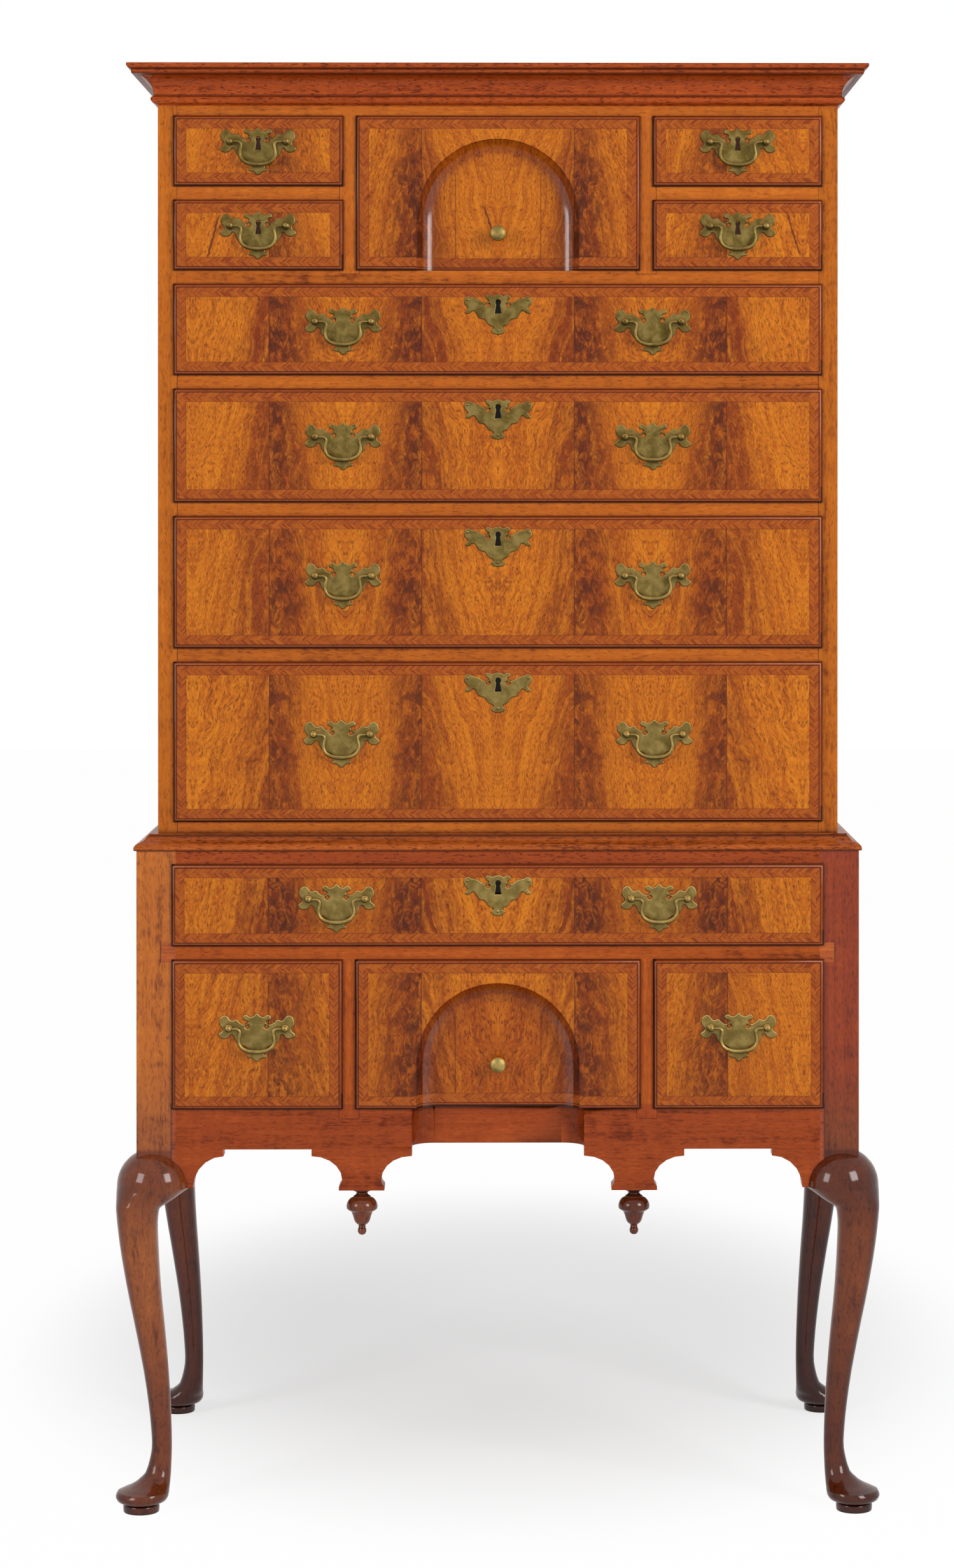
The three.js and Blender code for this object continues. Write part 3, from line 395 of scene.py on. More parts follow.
def mesh_from(bm, name):
    """A mesh made from a bmesh, which is freed."""
    mesh = bpy.data.meshes.new(name)
    bm.to_mesh(mesh)
    bm.free()
    return mesh


def mesh_object(bm, name):
    return linked(name, mesh_from(bm, name))


def discard(piece):
    """Removes an object and its mesh."""
    mesh = piece.data
    bpy.data.objects.remove(piece, do_unlink=True)
    bpy.data.meshes.remove(mesh)


def outward(bm):
    """The bmesh with its seams closed and its faces turned outwards."""
    bmesh.ops.remove_doubles(bm, verts=bm.verts, dist=TINY / 5)
    bmesh.ops.recalc_face_normals(bm, faces=bm.faces)
    return bm


def shaped_by(piece, tool, operation):
    """The piece cut by the tool or joined with it; the tool is used up."""
    change = piece.modifiers.new("shape", "BOOLEAN")
    change.operation = operation
    change.solver = "EXACT"
    change.object = tool
    depsgraph = bpy.context.evaluated_depsgraph_get()
    shaped = bpy.data.meshes.new_from_object(piece.evaluated_get(depsgraph))
    piece.modifiers.clear()
    old = piece.data
    piece.data = shaped
    bpy.data.meshes.remove(old)
    discard(tool)


def dressed(piece, body, finish, nodes=(), angle=32):
    """Finishes a piece: its material, its smooth faces, the body it rides on and the nodes it stands for."""
    piece.data.materials.clear()
    piece.data.materials.append(finish_named(finish))
    piece.data.polygons.foreach_set("material_index", [0] * len(piece.data.polygons))
    piece.data.shade_smooth()
    piece.data.set_sharp_from_angle(angle=math.radians(angle))
    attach(piece, body)
    if nodes:
        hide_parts(*nodes)


def bezier(curve, places, handles="AUTO"):
    """A line of a curve through the given places: AUTO handles make it smooth, VECTOR ones straight."""
    spline = curve.splines.new("BEZIER")
    spline.bezier_points.add(len(places) - 1)
    for point, place in zip(spline.bezier_points, places):
        point.co = place
        point.handle_left_type = handles
        point.handle_right_type = handles
    return spline


def flat_curve(name, loops, thickness, chamfer):
    """A flat sheet with filed edges, cut to loops with their handles: first its outline, then its holes.
    Its back is at y = 0, and it faces -Y."""
    curve = bpy.data.curves.new(name, "CURVE")
    curve.dimensions = "2D"
    curve.fill_mode = "BOTH"
    curve.extrude = thickness / 2 - chamfer
    curve.bevel_depth = chamfer
    curve.bevel_resolution = 0
    curve.offset = -chamfer
    curve.resolution_u = 4
    for loop, handles in loops:
        bezier(curve, [(x, z, 0) for x, z in loop], handles).use_cyclic_u = True
    upright = Matrix.Rotation(math.pi / 2, 4, "X")
    return curve_to_bmesh(curve, Matrix.Translation((0, -thickness / 2, 0)) @ upright)


def curve_to_bmesh(curve, matrix):
    """The mesh of a curve, moved by a matrix, with its seams closed."""
    holder = linked(curve.name, curve)
    depsgraph = bpy.context.evaluated_depsgraph_get()
    mesh = bpy.data.meshes.new_from_object(holder.evaluated_get(depsgraph))
    bm = bmesh.new()
    bm.from_mesh(mesh)
    bpy.data.objects.remove(holder, do_unlink=True)
    bpy.data.curves.remove(curve)
    bpy.data.meshes.remove(mesh)
    bmesh.ops.transform(bm, matrix=matrix, verts=bm.verts)
    return outward(bm)


def circle_loop(x, z, radius):
    return [(x + radius, z), (x, z + radius), (x - radius, z), (x, z - radius)]


def keyhole_loop(x, z, radius, height):
    """A keyhole with the middle of its round part at (x, z)."""
    foot = z + radius - height
    return [(x + a * radius, foot + b * height) for a, b in KEYHOLE_SHARES]


def copied(mesh, place, scale=(1, 1, 1)):
    """A new bmesh of a mesh, scaled and put at a place."""
    bm = bmesh.new()
    bm.from_mesh(mesh)
    bmesh.ops.scale(bm, vec=scale, verts=bm.verts)
    bmesh.ops.translate(bm, vec=place, verts=bm.verts)
    return bm


# Node helpers

class Signal:
    """A value in a node tree. Arithmetic with it adds maths nodes."""

    def __init__(self, wiring, socket):
        self.wiring = wiring
        self.socket = socket

    def __add__(self, other):
        return self.wiring.maths("ADD", self, other)

    def __radd__(self, other):
        return self.wiring.maths("ADD", other, self)

    def __sub__(self, other):
        return self.wiring.maths("SUBTRACT", self, other)

    def __rsub__(self, other):
        return self.wiring.maths("SUBTRACT", other, self)

    def __mul__(self, other):
        return self.wiring.maths("MULTIPLY", self, other)

    def __truediv__(self, other):
        return self.wiring.maths("DIVIDE", self, other)

    def __lt__(self, other):
        return self.wiring.maths("LESS_THAN", self, other)

    def __gt__(self, other):
        return self.wiring.maths("GREATER_THAN", self, other)

    def __abs__(self):
        return self.wiring.maths("ABSOLUTE", self)


class Wiring:
    """Adds nodes to a tree and joins them to what feeds them."""

    def __init__(self, tree):
        self.tree = tree

    def feed(self, socket, value):
        if isinstance(value, Signal):
            value = value.socket
        if isinstance(value, bpy.types.NodeSocket):
            self.tree.links.new(value, socket)
        else:
            socket.default_value = value

    def node(self, kind, inputs=None, **options):
        """A new node, whose options are set before its inputs are fed."""
        made = self.tree.nodes.new(kind)
        for name, value in options.items():
            setattr(made, name, value)
        for key, value in (inputs or {}).items():
            self.feed(made.inputs[key], value)
        return made

    def add(self, kind, inputs=None, output=0, **options):
        return Signal(self, self.node(kind, inputs, **options).outputs[output])

    def named_outputs(self, node):
        return {socket.name: Signal(self, socket) for socket in node.outputs}

    def maths(self, operation, a, b=0.0):
        return self.add("ShaderNodeMath", {0: a, 1: b}, operation=operation)

    def clamped(self, signal):
        signal.socket.node.use_clamp = True
        return signal

    def larger(self, a, b):
        return self.maths("MAXIMUM", a, b)

    def smaller(self, a, b):
        return self.maths("MINIMUM", a, b)

    def blend(self, share, a, b, way="MIX"):
        return self.add("ShaderNodeMix", {0: share, 6: a, 7: b}, output=2, data_type="RGBA", blend_type=way)

    def tinted(self, colour, tint):
        return self.blend(1.0, colour, (*tint, 1), "MULTIPLY")

    def shaded(self, colour, share, tint):
        """The colour, tinted by a share that may change over the surface."""
        return self.blend(share, colour, self.tinted(colour, tint))

    def choose(self, share, a, b):
        return self.add("ShaderNodeMix", {0: share, 4: a, 5: b}, output=1, data_type="VECTOR")

    def mixed(self, share, a, b):
        return self.add("ShaderNodeMix", {0: share, 2: a, 3: b}, data_type="FLOAT")

    def ramp(self, value, low, high, start=0.0, end=1.0):
        return self.add("ShaderNodeMapRange", {0: value, 1: low, 2: high, 3: start, 4: end},
                        interpolation_type="SMOOTHSTEP")

    def near(self, value, place, width):
        """1 where a value is within a width of a place, fading out over half of it."""
        return self.ramp(abs(value - place), width, width * 0.5)

    def split(self, vector):
        return [Signal(self, socket) for socket in self.node("ShaderNodeSeparateXYZ", {0: vector}).outputs]

    def vector(self, x, y, z):
        return self.add("ShaderNodeCombineXYZ", {0: x, 1: y, 2: z})

    def stretched(self, vector, scale):
        return self.add("ShaderNodeMapping", {"Vector": vector, "Scale": scale, "Location": (0, 0, 0)})

    def noise(self, vector, scale, detail=3.0, roughness=0.5, distortion=0.0):
        """Noise of one scale, or of three along the axes."""
        if isinstance(scale, tuple):
            vector, scale = self.stretched(vector, scale), 1.0
        return self.add("ShaderNodeTexNoise", {"Vector": vector, "Scale": scale, "Detail": detail,
                                               "Roughness": roughness, "Distortion": distortion})

    def attribute(self, name):
        return self.add("ShaderNodeAttribute", output=1, attribute_name=name)

    def bump(self, height, strength, distance):
        return self.add("ShaderNodeBump", {"Height": height, "Strength": strength, "Distance": distance})

    def group(self, name, inputs):
        """A placed node group, which is made the first time it is asked for. The answer is its outputs."""
        if name not in bpy.data.node_groups:
            GROUPS[name]()
        return self.named_outputs(self.node("ShaderNodeGroup", inputs, node_tree=bpy.data.node_groups[name]))


class Finish(Wiring):
    """The wiring of a new material, with its Principled shader and its object coordinates."""

    def __init__(self, name):
        material = bpy.data.materials.new(name)
        material.use_nodes = True
        super().__init__(material.node_tree)
        self.tree.nodes.clear()
        self.shader = self.tree.nodes.new("ShaderNodeBsdfPrincipled")
        self.end = self.node("ShaderNodeOutputMaterial", {"Surface": self.shader.outputs[0]})
        self.coords = self.add("ShaderNodeTexCoord", output=3)
        self.place = self.split(self.coords)

    def surface(self, inputs):
        for name, value in inputs.items():
            self.feed(self.shader.inputs[name], value)

    def along_x(self):
        x, y, z = self.place
        return self.vector(z, y, x)

    def along_y(self):
        x, y, z = self.place
        return self.vector(x, z, y)

    def normal(self):
        return self.split(self.add("ShaderNodeTexCoord", output=1))

    def walnut(self, vector, colour, contrast=1.0, pores=1.0, figure=0.5, seed=(0, 0, 0)):
        return self.group("walnut_grain", {"Vector": vector, "Colour": colour, "Contrast": contrast,
                                           "Pores": pores, "Figure": figure, "Seed": seed})

    # Painted shade in corners and gaps, from ambient occlusion, mixed with old polish
    def aged_and_shaded(self, colour, reach=0.008, amount=0.95):
        made = self.group("polish_and_shade", {"Colour": colour, "Vector": self.coords, "Reach": reach,
                                         "Amount": amount})
        return made["Colour"]

    def polish(self, colour, roughness, height, coat=0.25, bump=0.00022, gloss=0.1):
        """A polished wood surface: colour, roughness, bump and a thin coat of shellac."""
        self.surface({"Coat Weight": coat, "Coat Roughness": gloss, "Specular IOR Level": 0.02,
                      "Base Color": colour, "Roughness": roughness, "Normal": self.bump(height, 0.6, bump)})


SOCKET_KINDS = {type(None): "NodeSocketVector", float: "NodeSocketFloat", tuple: "NodeSocketColor"}


def group_tree(name, inputs, outputs):
    """An empty shader node group. The kind of an input follows its default."""
    tree = bpy.data.node_groups.new(name, "ShaderNodeTree")
    for label, value in inputs.items():
        kind = SOCKET_KINDS[type(value)]
        socket = tree.interface.new_socket(name=label, in_out="INPUT", socket_type=kind)
        if value is not None:
            socket.default_value = value
    for label in outputs:
        kind = "NodeSocketColor" if label == "Colour" else "NodeSocketFloat"
        tree.interface.new_socket(name=label, in_out="OUTPUT", socket_type=kind)
    w = Wiring(tree)
    return w, w.named_outputs(tree.nodes.new("NodeGroupInput")), tree.nodes.new("NodeGroupOutput").inputs


def walnut_group():
    """Polished walnut with its grain along Z of the given coordinates."""
    w, given, out = group_tree(
        "walnut_grain",
        {"Vector": None, "Colour": (0.4, 0.1, 0.02, 1), "Contrast": 1.0, "Pores": 1.0, "Figure": 0.5,
         "Seed": None},
        ("Colour", "Roughness", "Height"))
    placed = w.add("ShaderNodeVectorMath", {0: given["Vector"], 1: given["Seed"]}, operation="ADD")
    drift = w.stretched(placed, (9, 9, 3))
    sway = w.add("ShaderNodeTexNoise", {"Vector": drift, "Scale": 1.0, "Detail": 2.0}, output=1)
    swayed = w.add("ShaderNodeVectorMath", {0: sway, 1: (0.011, 0.011, 0.03), 2: placed},
                   operation="MULTIPLY_ADD")
    broad = w.noise(swayed, (38, 38, 1.6), 3.0, 0.55)
    bands = w.noise(swayed, (150, 150, 4), 3.0, 0.6)
    fibres = w.noise(swayed, (620, 620, 22), 2.0, 0.6)
    curl = w.noise(swayed, (24, 24, 55), 2.0, 0.5, 0.6)
    dashes = w.noise(placed, (560, 560, 150), 1.0, 0.4)
    specks = w.noise(swayed, (330, 330, 95), 2.0, 0.6)
    tone = (broad - 0.5) * 1.3 + (bands - 0.5) * 0.85 + (fibres - 0.5) * 0.55 + (specks - 0.5) * 0.9
    tone = (tone + (curl - 0.5) * given["Figure"]) * given["Contrast"]
    colour = w.shaded(given["Colour"], w.ramp(tone, 0.02, -0.62), (0.34, 0.24, 0.3))
    colour = w.blend(w.ramp(tone, -0.02, 0.6), colour, w.tinted(given["Colour"], (1.32, 1.48, 1.5)))
    pore = w.clamped(w.ramp(dashes, 0.58, 0.7) * (given["Pores"] * 0.8))
    w.feed(out["Colour"], w.shaded(colour, pore, (0.3, 0.22, 0.26)))
    w.feed(out["Roughness"], w.ramp(tone, -0.5, 0.5, 0.42, 0.3))
    w.feed(out["Height"], fibres * 0.35 - pore * 0.8)


def polish_and_shade_group():
    """Darkens a colour in corners and gaps with painted shade from ambient occlusion, varied by spots like
    old polish and dust.
    """
    w, given, out = group_tree(
        "polish_and_shade", {"Colour": (0.4, 0.1, 0.02, 1), "Vector": None, "Reach": 0.008, "Amount": 0.8},
        ("Colour", "Mask"))
    corners = w.node("ShaderNodeAmbientOcclusion", {"Distance": given["Reach"]}, samples=6)
    spots = w.noise(given["Vector"], (60, 60, 60), 3.0, 0.6)
    mask = w.ramp(corners.outputs["AO"], 0.85, 0.35) * w.ramp(spots, 0.2, 0.6, 0.7, 1.0)
    mask = w.clamped(mask * given["Amount"])
    w.feed(out["Colour"], w.shaded(given["Colour"], mask, (0.07, 0.05, 0.06)))
    w.feed(out["Mask"], mask)


def veneer_group():
    """Book-matched crotch veneer: leaves mirrored at upright seams, dark plumes along the seams."""
    w, given, out = group_tree(
        "matched_veneer",
        {"Vector": None, "Light": (0.5, 0.15, 0.03, 1), "Dark": (0.15, 0.03, 0.01, 1), "Leaf": 0.19,
         "Plumes": 1.0, "Spread": 1.0, "Inner": 1.0, "Rise": 0.0, "Seed": 0.0},
        ("Colour", "Height", "Roughness"))
    light, dark = given["Light"], given["Dark"]
    x, y, z = w.split(given["Vector"])
    half = given["Leaf"] * 0.5
    mirrored = w.maths("PINGPONG", x - half, half)
    leaf = w.maths("FLOOR", (abs(x) + half) / given["Leaf"])
    second = w.maths("COMPARE", leaf, 1.0)
    slide = leaf * 0.73 + given["Seed"]

    def pattern(across, up, detail=3.0, roughness=0.6, distortion=0.0, line=mirrored):
        return w.noise(w.vector(line * across, slide, z * up), 1.0, detail, roughness, distortion)

    sway = pattern(9.0, 8.0, 3.0, 0.55) - 0.5
    ripple = pattern(32.0, 26.0) - 0.5
    fan = mirrored + z * 0.22 + sway * 0.05 + ripple * 0.009
    streak = pattern(120.0, 6.0, 4.0, line=fan)
    fibre = pattern(420.0, 40.0, line=fan)
    specks = pattern(480.0, 190.0, 2.0, 0.6, 0.2, fan)
    flecks = pattern(620.0, 190.0, 1.0, 0.5, line=fan)
    mottle = pattern(110.0, 60.0, 4.0, 0.68, 0.9)
    clouds = pattern(26.0, 30.0, 3.0, 0.6, 0.8)
    # Plumes stand along the seams and widen downwards: dark in the second leaf, reddish in the others
    reach = (mirrored + sway * 0.05 + ripple * 0.022 + given["Rise"] * 0.012) / given["Spread"]
    wide = w.ramp(reach, 0.085, 0.01) * second
    narrow = w.clamped(w.ramp(reach, 0.046, 0.003) * w.ramp(streak, 0.62, 0.44, 0.6, 1.25))
    narrow = narrow * w.larger(given["Inner"], second)
    plume = w.larger(wide, narrow) * given["Plumes"]
    core = w.ramp(reach, 0.06, 0.006) * w.ramp(mottle, 0.64, 0.4) * w.ramp(clouds, 0.62, 0.42, 0.5, 1.0)
    core = w.clamped(core * w.larger(given["Inner"] * 0.34, second) * given["Plumes"])
    vein = mottle * 0.6 + streak * 0.4
    middle = w.tinted(light, (0.68, 0.5, 0.6))
    pale = w.tinted(light, (1.26, 1.5, 1.3))
    base = w.blend(w.ramp(streak, 0.58, 0.36, 0.0, 0.7), light, middle)
    base = w.blend(w.ramp(clouds, 0.5, 0.3) * 0.6, base, middle)
    base = w.blend(w.ramp(streak, 0.52, 0.72) * 0.5, base, pale)
    base = w.blend(w.ramp(specks, 0.5, 0.7) * 0.6, base, pale)
    auburn = w.tinted(light, (0.44, 0.25, 0.4))
    colour = w.blend(plume * w.ramp(vein, 0.64, 0.42, 0.45, 1.0), base, auburn)
    colour = w.blend(core * 0.92, colour, dark)
    colour = w.shaded(colour, w.ramp(specks, 0.5, 0.32) * 0.38, (0.42, 0.3, 0.4))
    fleck = w.ramp(flecks, 0.57, 0.67) * 0.52
    seam = w.ramp(mirrored, 0.0009, 0.0003)
    for share in (fleck, w.ramp(fibre, 0.48, 0.3) * 0.25, seam * 0.6):
        colour = w.blend(share, colour, dark)
    w.feed(out["Colour"], colour)
    w.feed(out["Height"], fibre * 0.4 - fleck * 0.8 - seam)
    w.feed(out["Roughness"], w.ramp(streak, 0.3, 0.7, 0.4, 0.3))


GROUPS = {"walnut_grain": walnut_group, "polish_and_shade": polish_and_shade_group, "matched_veneer": veneer_group}


# Finishes

def scar(w, foot, top):
    """A thin wandering crack between two places on a front."""
    x, y, z = w.place
    slope = (top[0] - foot[0]) / (top[1] - foot[1])
    wander = w.noise(w.vector(x, 0.0, z), 160.0, 2.0)
    line = foot[0] + (z - foot[1]) * slope + (wander - 0.5) * 0.004
    within = w.ramp(z, foot[1] - 0.003, foot[1] + 0.006) * w.ramp(z, top[1] + 0.003, top[1] - 0.006)
    return w.near(x - line, 0.0, 0.0016) * within * 0.8


def front_finish(w):
    """Drawer fronts: thumbnail edge, herringbone banding with stringing, and matched veneer."""
    timber = settings("timber")
    joinery = settings("joinery")
    x, y, z = w.place
    cx, face, cz = w.split(w.attribute("front_centre"))
    hx, seed, hz = w.split(w.attribute("front_half"))
    strength, spread, inner = w.split(w.attribute("front_figure"))
    aside, above, depth = abs(x - cx), abs(z - cz), y - face
    from_side, from_end = hx - aside, hz - above
    inset = w.smaller(from_side, from_end) - joinery.lip_radius
    run = w.mixed(from_end < from_side, z, x)
    width = timber.band_width
    # Grain of the banding leans one way in the outer strip and the other way in the inner one
    lean = (inset < width / 2) * 2.0 - 1.0
    slanted = run + inset * (lean * 1.1)
    lines = w.noise(w.vector(slanted * 330.0, lean * 3.0, (inset + run * 0.1) * 60.0), 1.0, 3.0, 0.6)
    slow = w.noise(w.vector(slanted * 95.0, lean * 5.0, seed), 1.0, 2.0)
    banding = w.blend(w.ramp(lines, 0.38, 0.6), w.tinted(timber.band, (0.62, 0.48, 0.55)),
                      w.tinted(timber.band, (1.14, 1.18, 1.15)))
    banding = w.blend(w.ramp(slow, 0.5, 0.7) * 0.5, banding, w.tinted(timber.band, (1.35, 1.7, 1.7)))
    veneer = w.group("matched_veneer", {
        "Vector": w.coords, "Light": timber.veneer_light, "Dark": timber.veneer_dark,
        "Leaf": timber.leaf_width, "Plumes": strength, "Spread": spread, "Inner": inner,
        "Rise": (z - cz) / hz, "Seed": seed})
    # The field of the lower niche is darker, the coves get painted shade, and joints run up both niches
    field = w.shaded(veneer["Colour"], (depth > 0.0015) * (z < UPPER_LOW.z), (0.84, 0.72, 0.8))
    cove = w.ramp(depth, 0.001, 0.004) * w.ramp(depth, 0.0255, 0.022)
    joints = w.near(abs(x), 0.0535, 0.0009) * (depth > 0.025) * (depth < 0.0262)
    field = w.shaded(field, cove * 0.6, (0.5, 0.32, 0.4))
    field = w.blend(joints * 0.6, field, timber.line)
    # Stringing beside the field, and painted shade lines at the fillet and along the outer edge of the lip
    stringing_and_shade = w.near(inset, width, 0.0009) * 0.4 + w.near(inset, 0.0, 0.001)
    stringing_and_shade = w.clamped(stringing_and_shade + w.near(inset, -joinery.lip_radius, 0.0032))
    colour = w.blend(inset < width, field, banding)
    # Behind the lip, and not in the foot of a niche, the front's solid wood shows
    core = (depth > joinery.lip_proud + joinery.seat_gap) * (inset < 0.0035)
    core = core * w.larger(aside > joinery.niche_half + 0.002, z > cz)
    edge_grain = w.walnut(w.coords, timber.lip, 0.7, 0.5, 0.2)
    colour = w.blend(w.larger(inset < 0.0, core), colour, edge_grain["Colour"])
    colour = w.blend(stringing_and_shade * 0.8, colour, timber.line)
    # Painted shade: the lower and left edges of the lip are darkened, as if they stood in their own shade
    shade = w.larger(z - cz + hz < 0.02, x - cx + hx < 0.004) * w.near(inset, -joinery.lip_radius, 0.0034)
    colour = w.blend(shade * 0.9, colour, (0.012, 0.003, 0.001, 1))
    for foot, top in SCARS:
        colour = w.blend(scar(w, foot, top), colour, timber.veneer_dark)
    # Painted shade: inside a keyhole it is painted nearly black, and so is the wood behind the keyholes of
    # the small plates
    keyhole_shade = (depth > 0.0008) * (aside < 0.0065) * ((from_end > 0.0075) * (hx > 0.3))
    colour = w.blend(keyhole_shade, colour, (0.004, 0.002, 0.001, 1))
    plate_keyhole_shade = (aside < 0.008) * (above < 0.016) * (hz < 0.06) * (hx < 0.2)
    colour = w.blend(plate_keyhole_shade, colour, (0.03, 0.007, 0.002, 1))
    height = veneer["Height"] - stringing_and_shade * 0.6
    w.polish(w.aged_and_shaded(colour, 0.006), veneer["Roughness"], height, 0.38, 0.00016, 0.15)
    # The upright coves of the niches have kept the thickest polish
    w.surface({"Coat Weight": cove * w.ramp(z - cz - hz, -0.055, -0.095) * 0.64 + 0.34})


def case_finish(w):
    """Upper case: upright grain on the sides, grain along the blades and boards between them."""
    timber = settings("timber")
    x, y, z = w.place
    beside = abs(x)
    upright = beside > OPENING_HALF
    at_front = y < UPPER_FRONT + 0.002
    colour = w.blend(at_front, timber.side, w.blend(upright, timber.blade, timber.stile))
    grain = w.walnut(w.choose(upright, w.along_x(), w.coords), colour, 0.95, 0.5, 0.6, (3, 1, 2))
    joint = w.near(beside, OPENING_HALF, 0.0007) * (at_front * 0.75)
    shown = w.blend(joint, grain["Colour"], timber.line)
    w.polish(w.aged_and_shaded(shown), grain["Roughness"], grain["Height"])


def frame_finish(w, divider_low, divider_high, apron_top, foot_colour, blade_colour, seed):
    """Front frames: grain along the rails, upright in the dividers, with the joints drawn."""
    x, y, z = w.place
    beside = abs(x)
    across = (beside > DIVIDER_INNER) * (beside < DIVIDER_OUTER)
    within = (z > divider_low) * (z < divider_high)
    tint = w.blend(w.ramp(z, apron_top - 0.001, apron_top + 0.001), foot_colour, blade_colour)
    # Painted shade darkens the coved sides of the apron's hollow
    hollow_shade = w.ramp(beside, 0.07, 0.1) * (y > LOWER_FRONT + 0.0015)
    hollow_shade = hollow_shade * ((beside < 0.12) * (z < UPPER_LOW.z - 0.1))
    tint = w.shaded(tint, hollow_shade * 0.6, (0.45, 0.35, 0.4))
    grain = w.walnut(w.choose(across * within, w.along_x(), w.coords), tint, 1.0, 0.4, 0.7, seed)
    edge = w.near(beside, DIVIDER_INNER, 0.0006) + w.near(beside, DIVIDER_OUTER, 0.0006)
    joint = w.clamped((edge * within + w.near(z, divider_low, 0.0006) * across) * 0.7)
    shown = w.blend(joint, grain["Colour"], settings("timber").line)
    w.polish(w.aged_and_shaded(shown), grain["Roughness"], grain["Height"])


def upper_frame_finish(w):
    blade = settings("timber").blade
    low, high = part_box("drawer_top_centre")
    frame_finish(w, low.z - 0.004, high.z, low.z, blade, blade, (1, 4, 0))


def lower_frame_finish(w):
    timber = settings("timber")
    low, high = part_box("drawer_lower_centre")
    frame_finish(w, low.z - 0.012, high.z, low.z + 0.006, timber.apron, timber.lower_blade, (5, 0, 7))


def lower_case_finish(w):
    """Lower case: grain from front to back in the side boards, and across in the rail and the back."""
    timber = settings("timber")
    sides = abs(w.place[0]) > OPENING_HALF
    grain = w.walnut(w.choose(sides, w.along_x(), w.along_y()), w.blend(sides, timber.apron, timber.side),
                     0.9, 0.9, 0.5, (2, 6, 1))
    w.polish(w.aged_and_shaded(grain["Colour"]), grain["Roughness"], grain["Height"])


def moulding_finish(w, colour, seed, node, quirks, shade):
    """Mouldings: the grain follows the moulding round its mitres, and painted shade darkens the quirks and a
    band just below the upper step.
    """
    x, y, z = w.place
    low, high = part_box(node)
    aside = abs(x) - UPPER_HIGH.x
    before = UPPER_FRONT - y
    grain = w.walnut(w.choose(aside > before, w.along_x(), w.along_y()), colour, 1.25, 1.0, 0.5, seed)
    height = high.z - low.z
    tall = (z - low.z) / height
    # Painted shade: dark lines in the quirks and a darker band below the upper step
    quirk_shade = 0.0
    for level in quirks:
        quirk_shade = w.larger(quirk_shade, w.near(tall, level, 0.0022 / height))
    upper_shade = w.ramp(tall, *shade) * (tall < shade[1] + 0.01)
    shown = w.shaded(grain["Colour"], upper_shade * 0.5, (0.45, 0.35, 0.4))
    mitre = w.near(aside - before, 0.0, 0.0006)
    shown = w.blend(w.larger(mitre, quirk_shade) * 0.65, shown, settings("timber").line)
    w.polish(w.aged_and_shaded(shown, 0.018, 1.0), grain["Roughness"], grain["Height"], 0.22)


def cornice_finish(w):
    moulding_finish(w, settings("timber").moulding, (8, 2, 4), "cornice", (0.24, 0.75, 0.855), (0.45, 0.74))


def waist_finish(w):
    moulding_finish(w, settings("timber").waist, (1, 9, 3), "waist_moulding", (0.01, 0.89), (0.4, 0.88))


def leg_finish(w):
    """Legs and pendants: upright grain, glossy, darker at the knee and towards the foot."""
    timber = settings("timber")
    joinery = settings("joinery")
    x, y, z = w.place
    case = joinery.leg_height
    right = w.ramp(x, -0.1, 0.1)
    post = w.blend(right, timber.stile, w.tinted(timber.moulding, (0.66, 0.5, 0.4)))
    shaft = w.shaded(timber.leg, right, (0.58, 0.47, 0.42))
    colour = w.blend(w.ramp(z, case - 0.01, case + 0.13), shaft, post)
    # Painted shade darkens the outer sides of the legs, and the pendants are darker too
    outer = w.ramp(w.normal()[0] * w.maths("SIGN", x), 0.2, 0.9, 0.0, 0.9)
    pendant = w.ramp(abs(x), 0.26, 0.24, 0.0, 0.6)
    colour = w.shaded(colour, w.larger(outer, pendant) * w.ramp(z, case, case - 0.06), (0.45, 0.32, 0.4))
    # The knee and the foot are the darkest, and painted shade darkens the rear legs behind the case
    knee = w.ramp(z, 0.33, 0.42) * w.ramp(z, case + 0.002, case - 0.004)
    foot = w.ramp(z, 0.3, 0.08, 0.0, 0.9)
    colour = w.shaded(colour, w.larger(knee * 0.85, foot), (0.5, 0.38, 0.45))
    rear = w.ramp(y, -0.05, 0.1, 0.0, 0.9) * w.ramp(z, case + 0.02, case - 0.04)
    colour = w.shaded(colour, rear, (0.38, 0.25, 0.3))
    # The apron and the blade above it run on into the inner edge of a front post
    side_low, side_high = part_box("drawer_lower_left")
    across = abs(x) - OPENING_HALF
    dovetail = (z > side_high.z - 0.004) * (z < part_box("drawer_lower_long")[0].z + 0.004)
    depth = dovetail * 0.013 + 0.0055
    ahead = (y < LOWER_FRONT + 0.001) * (z > case - joinery.knee_drop) * (y > LOWER_FRONT - 0.0004)
    ahead = ahead * w.larger(z < side_low.z + 0.006, dovetail)
    run_on = (across < depth) * ahead
    colour = w.blend(run_on, colour, w.blend(dovetail, timber.apron, timber.lower_blade))
    grain = w.walnut(w.choose(run_on, w.coords, w.along_x()), colour, 1.15, 0.6, 0.7, (4, 4, 4))
    shown = w.shaded(grain["Colour"], w.ramp(z, 0.075, 0.012, 0.0, 0.5), (0.5, 0.42, 0.5))
    joint = w.near(across - depth, 0.0, 0.0012) * ahead
    shown = w.blend(joint * 0.75, shown, timber.line)
    w.polish(w.aged_and_shaded(shown, 0.01, 0.85), grain["Roughness"], grain["Height"], 0.65)


def pine_finish(w, vector):
    """Unpolished old pine or poplar of the linings and the back."""
    grain = w.walnut(vector, settings("timber").pine, 0.6, 0.25, 0.15, (0, 3, 5))
    w.surface({"Base Color": w.aged_and_shaded(grain["Colour"], 0.02, 0.6), "Roughness": grain["Roughness"] + 0.3,
               "Normal": w.bump(grain["Height"], 0.5, 0.0003), "Specular IOR Level": 0.3})


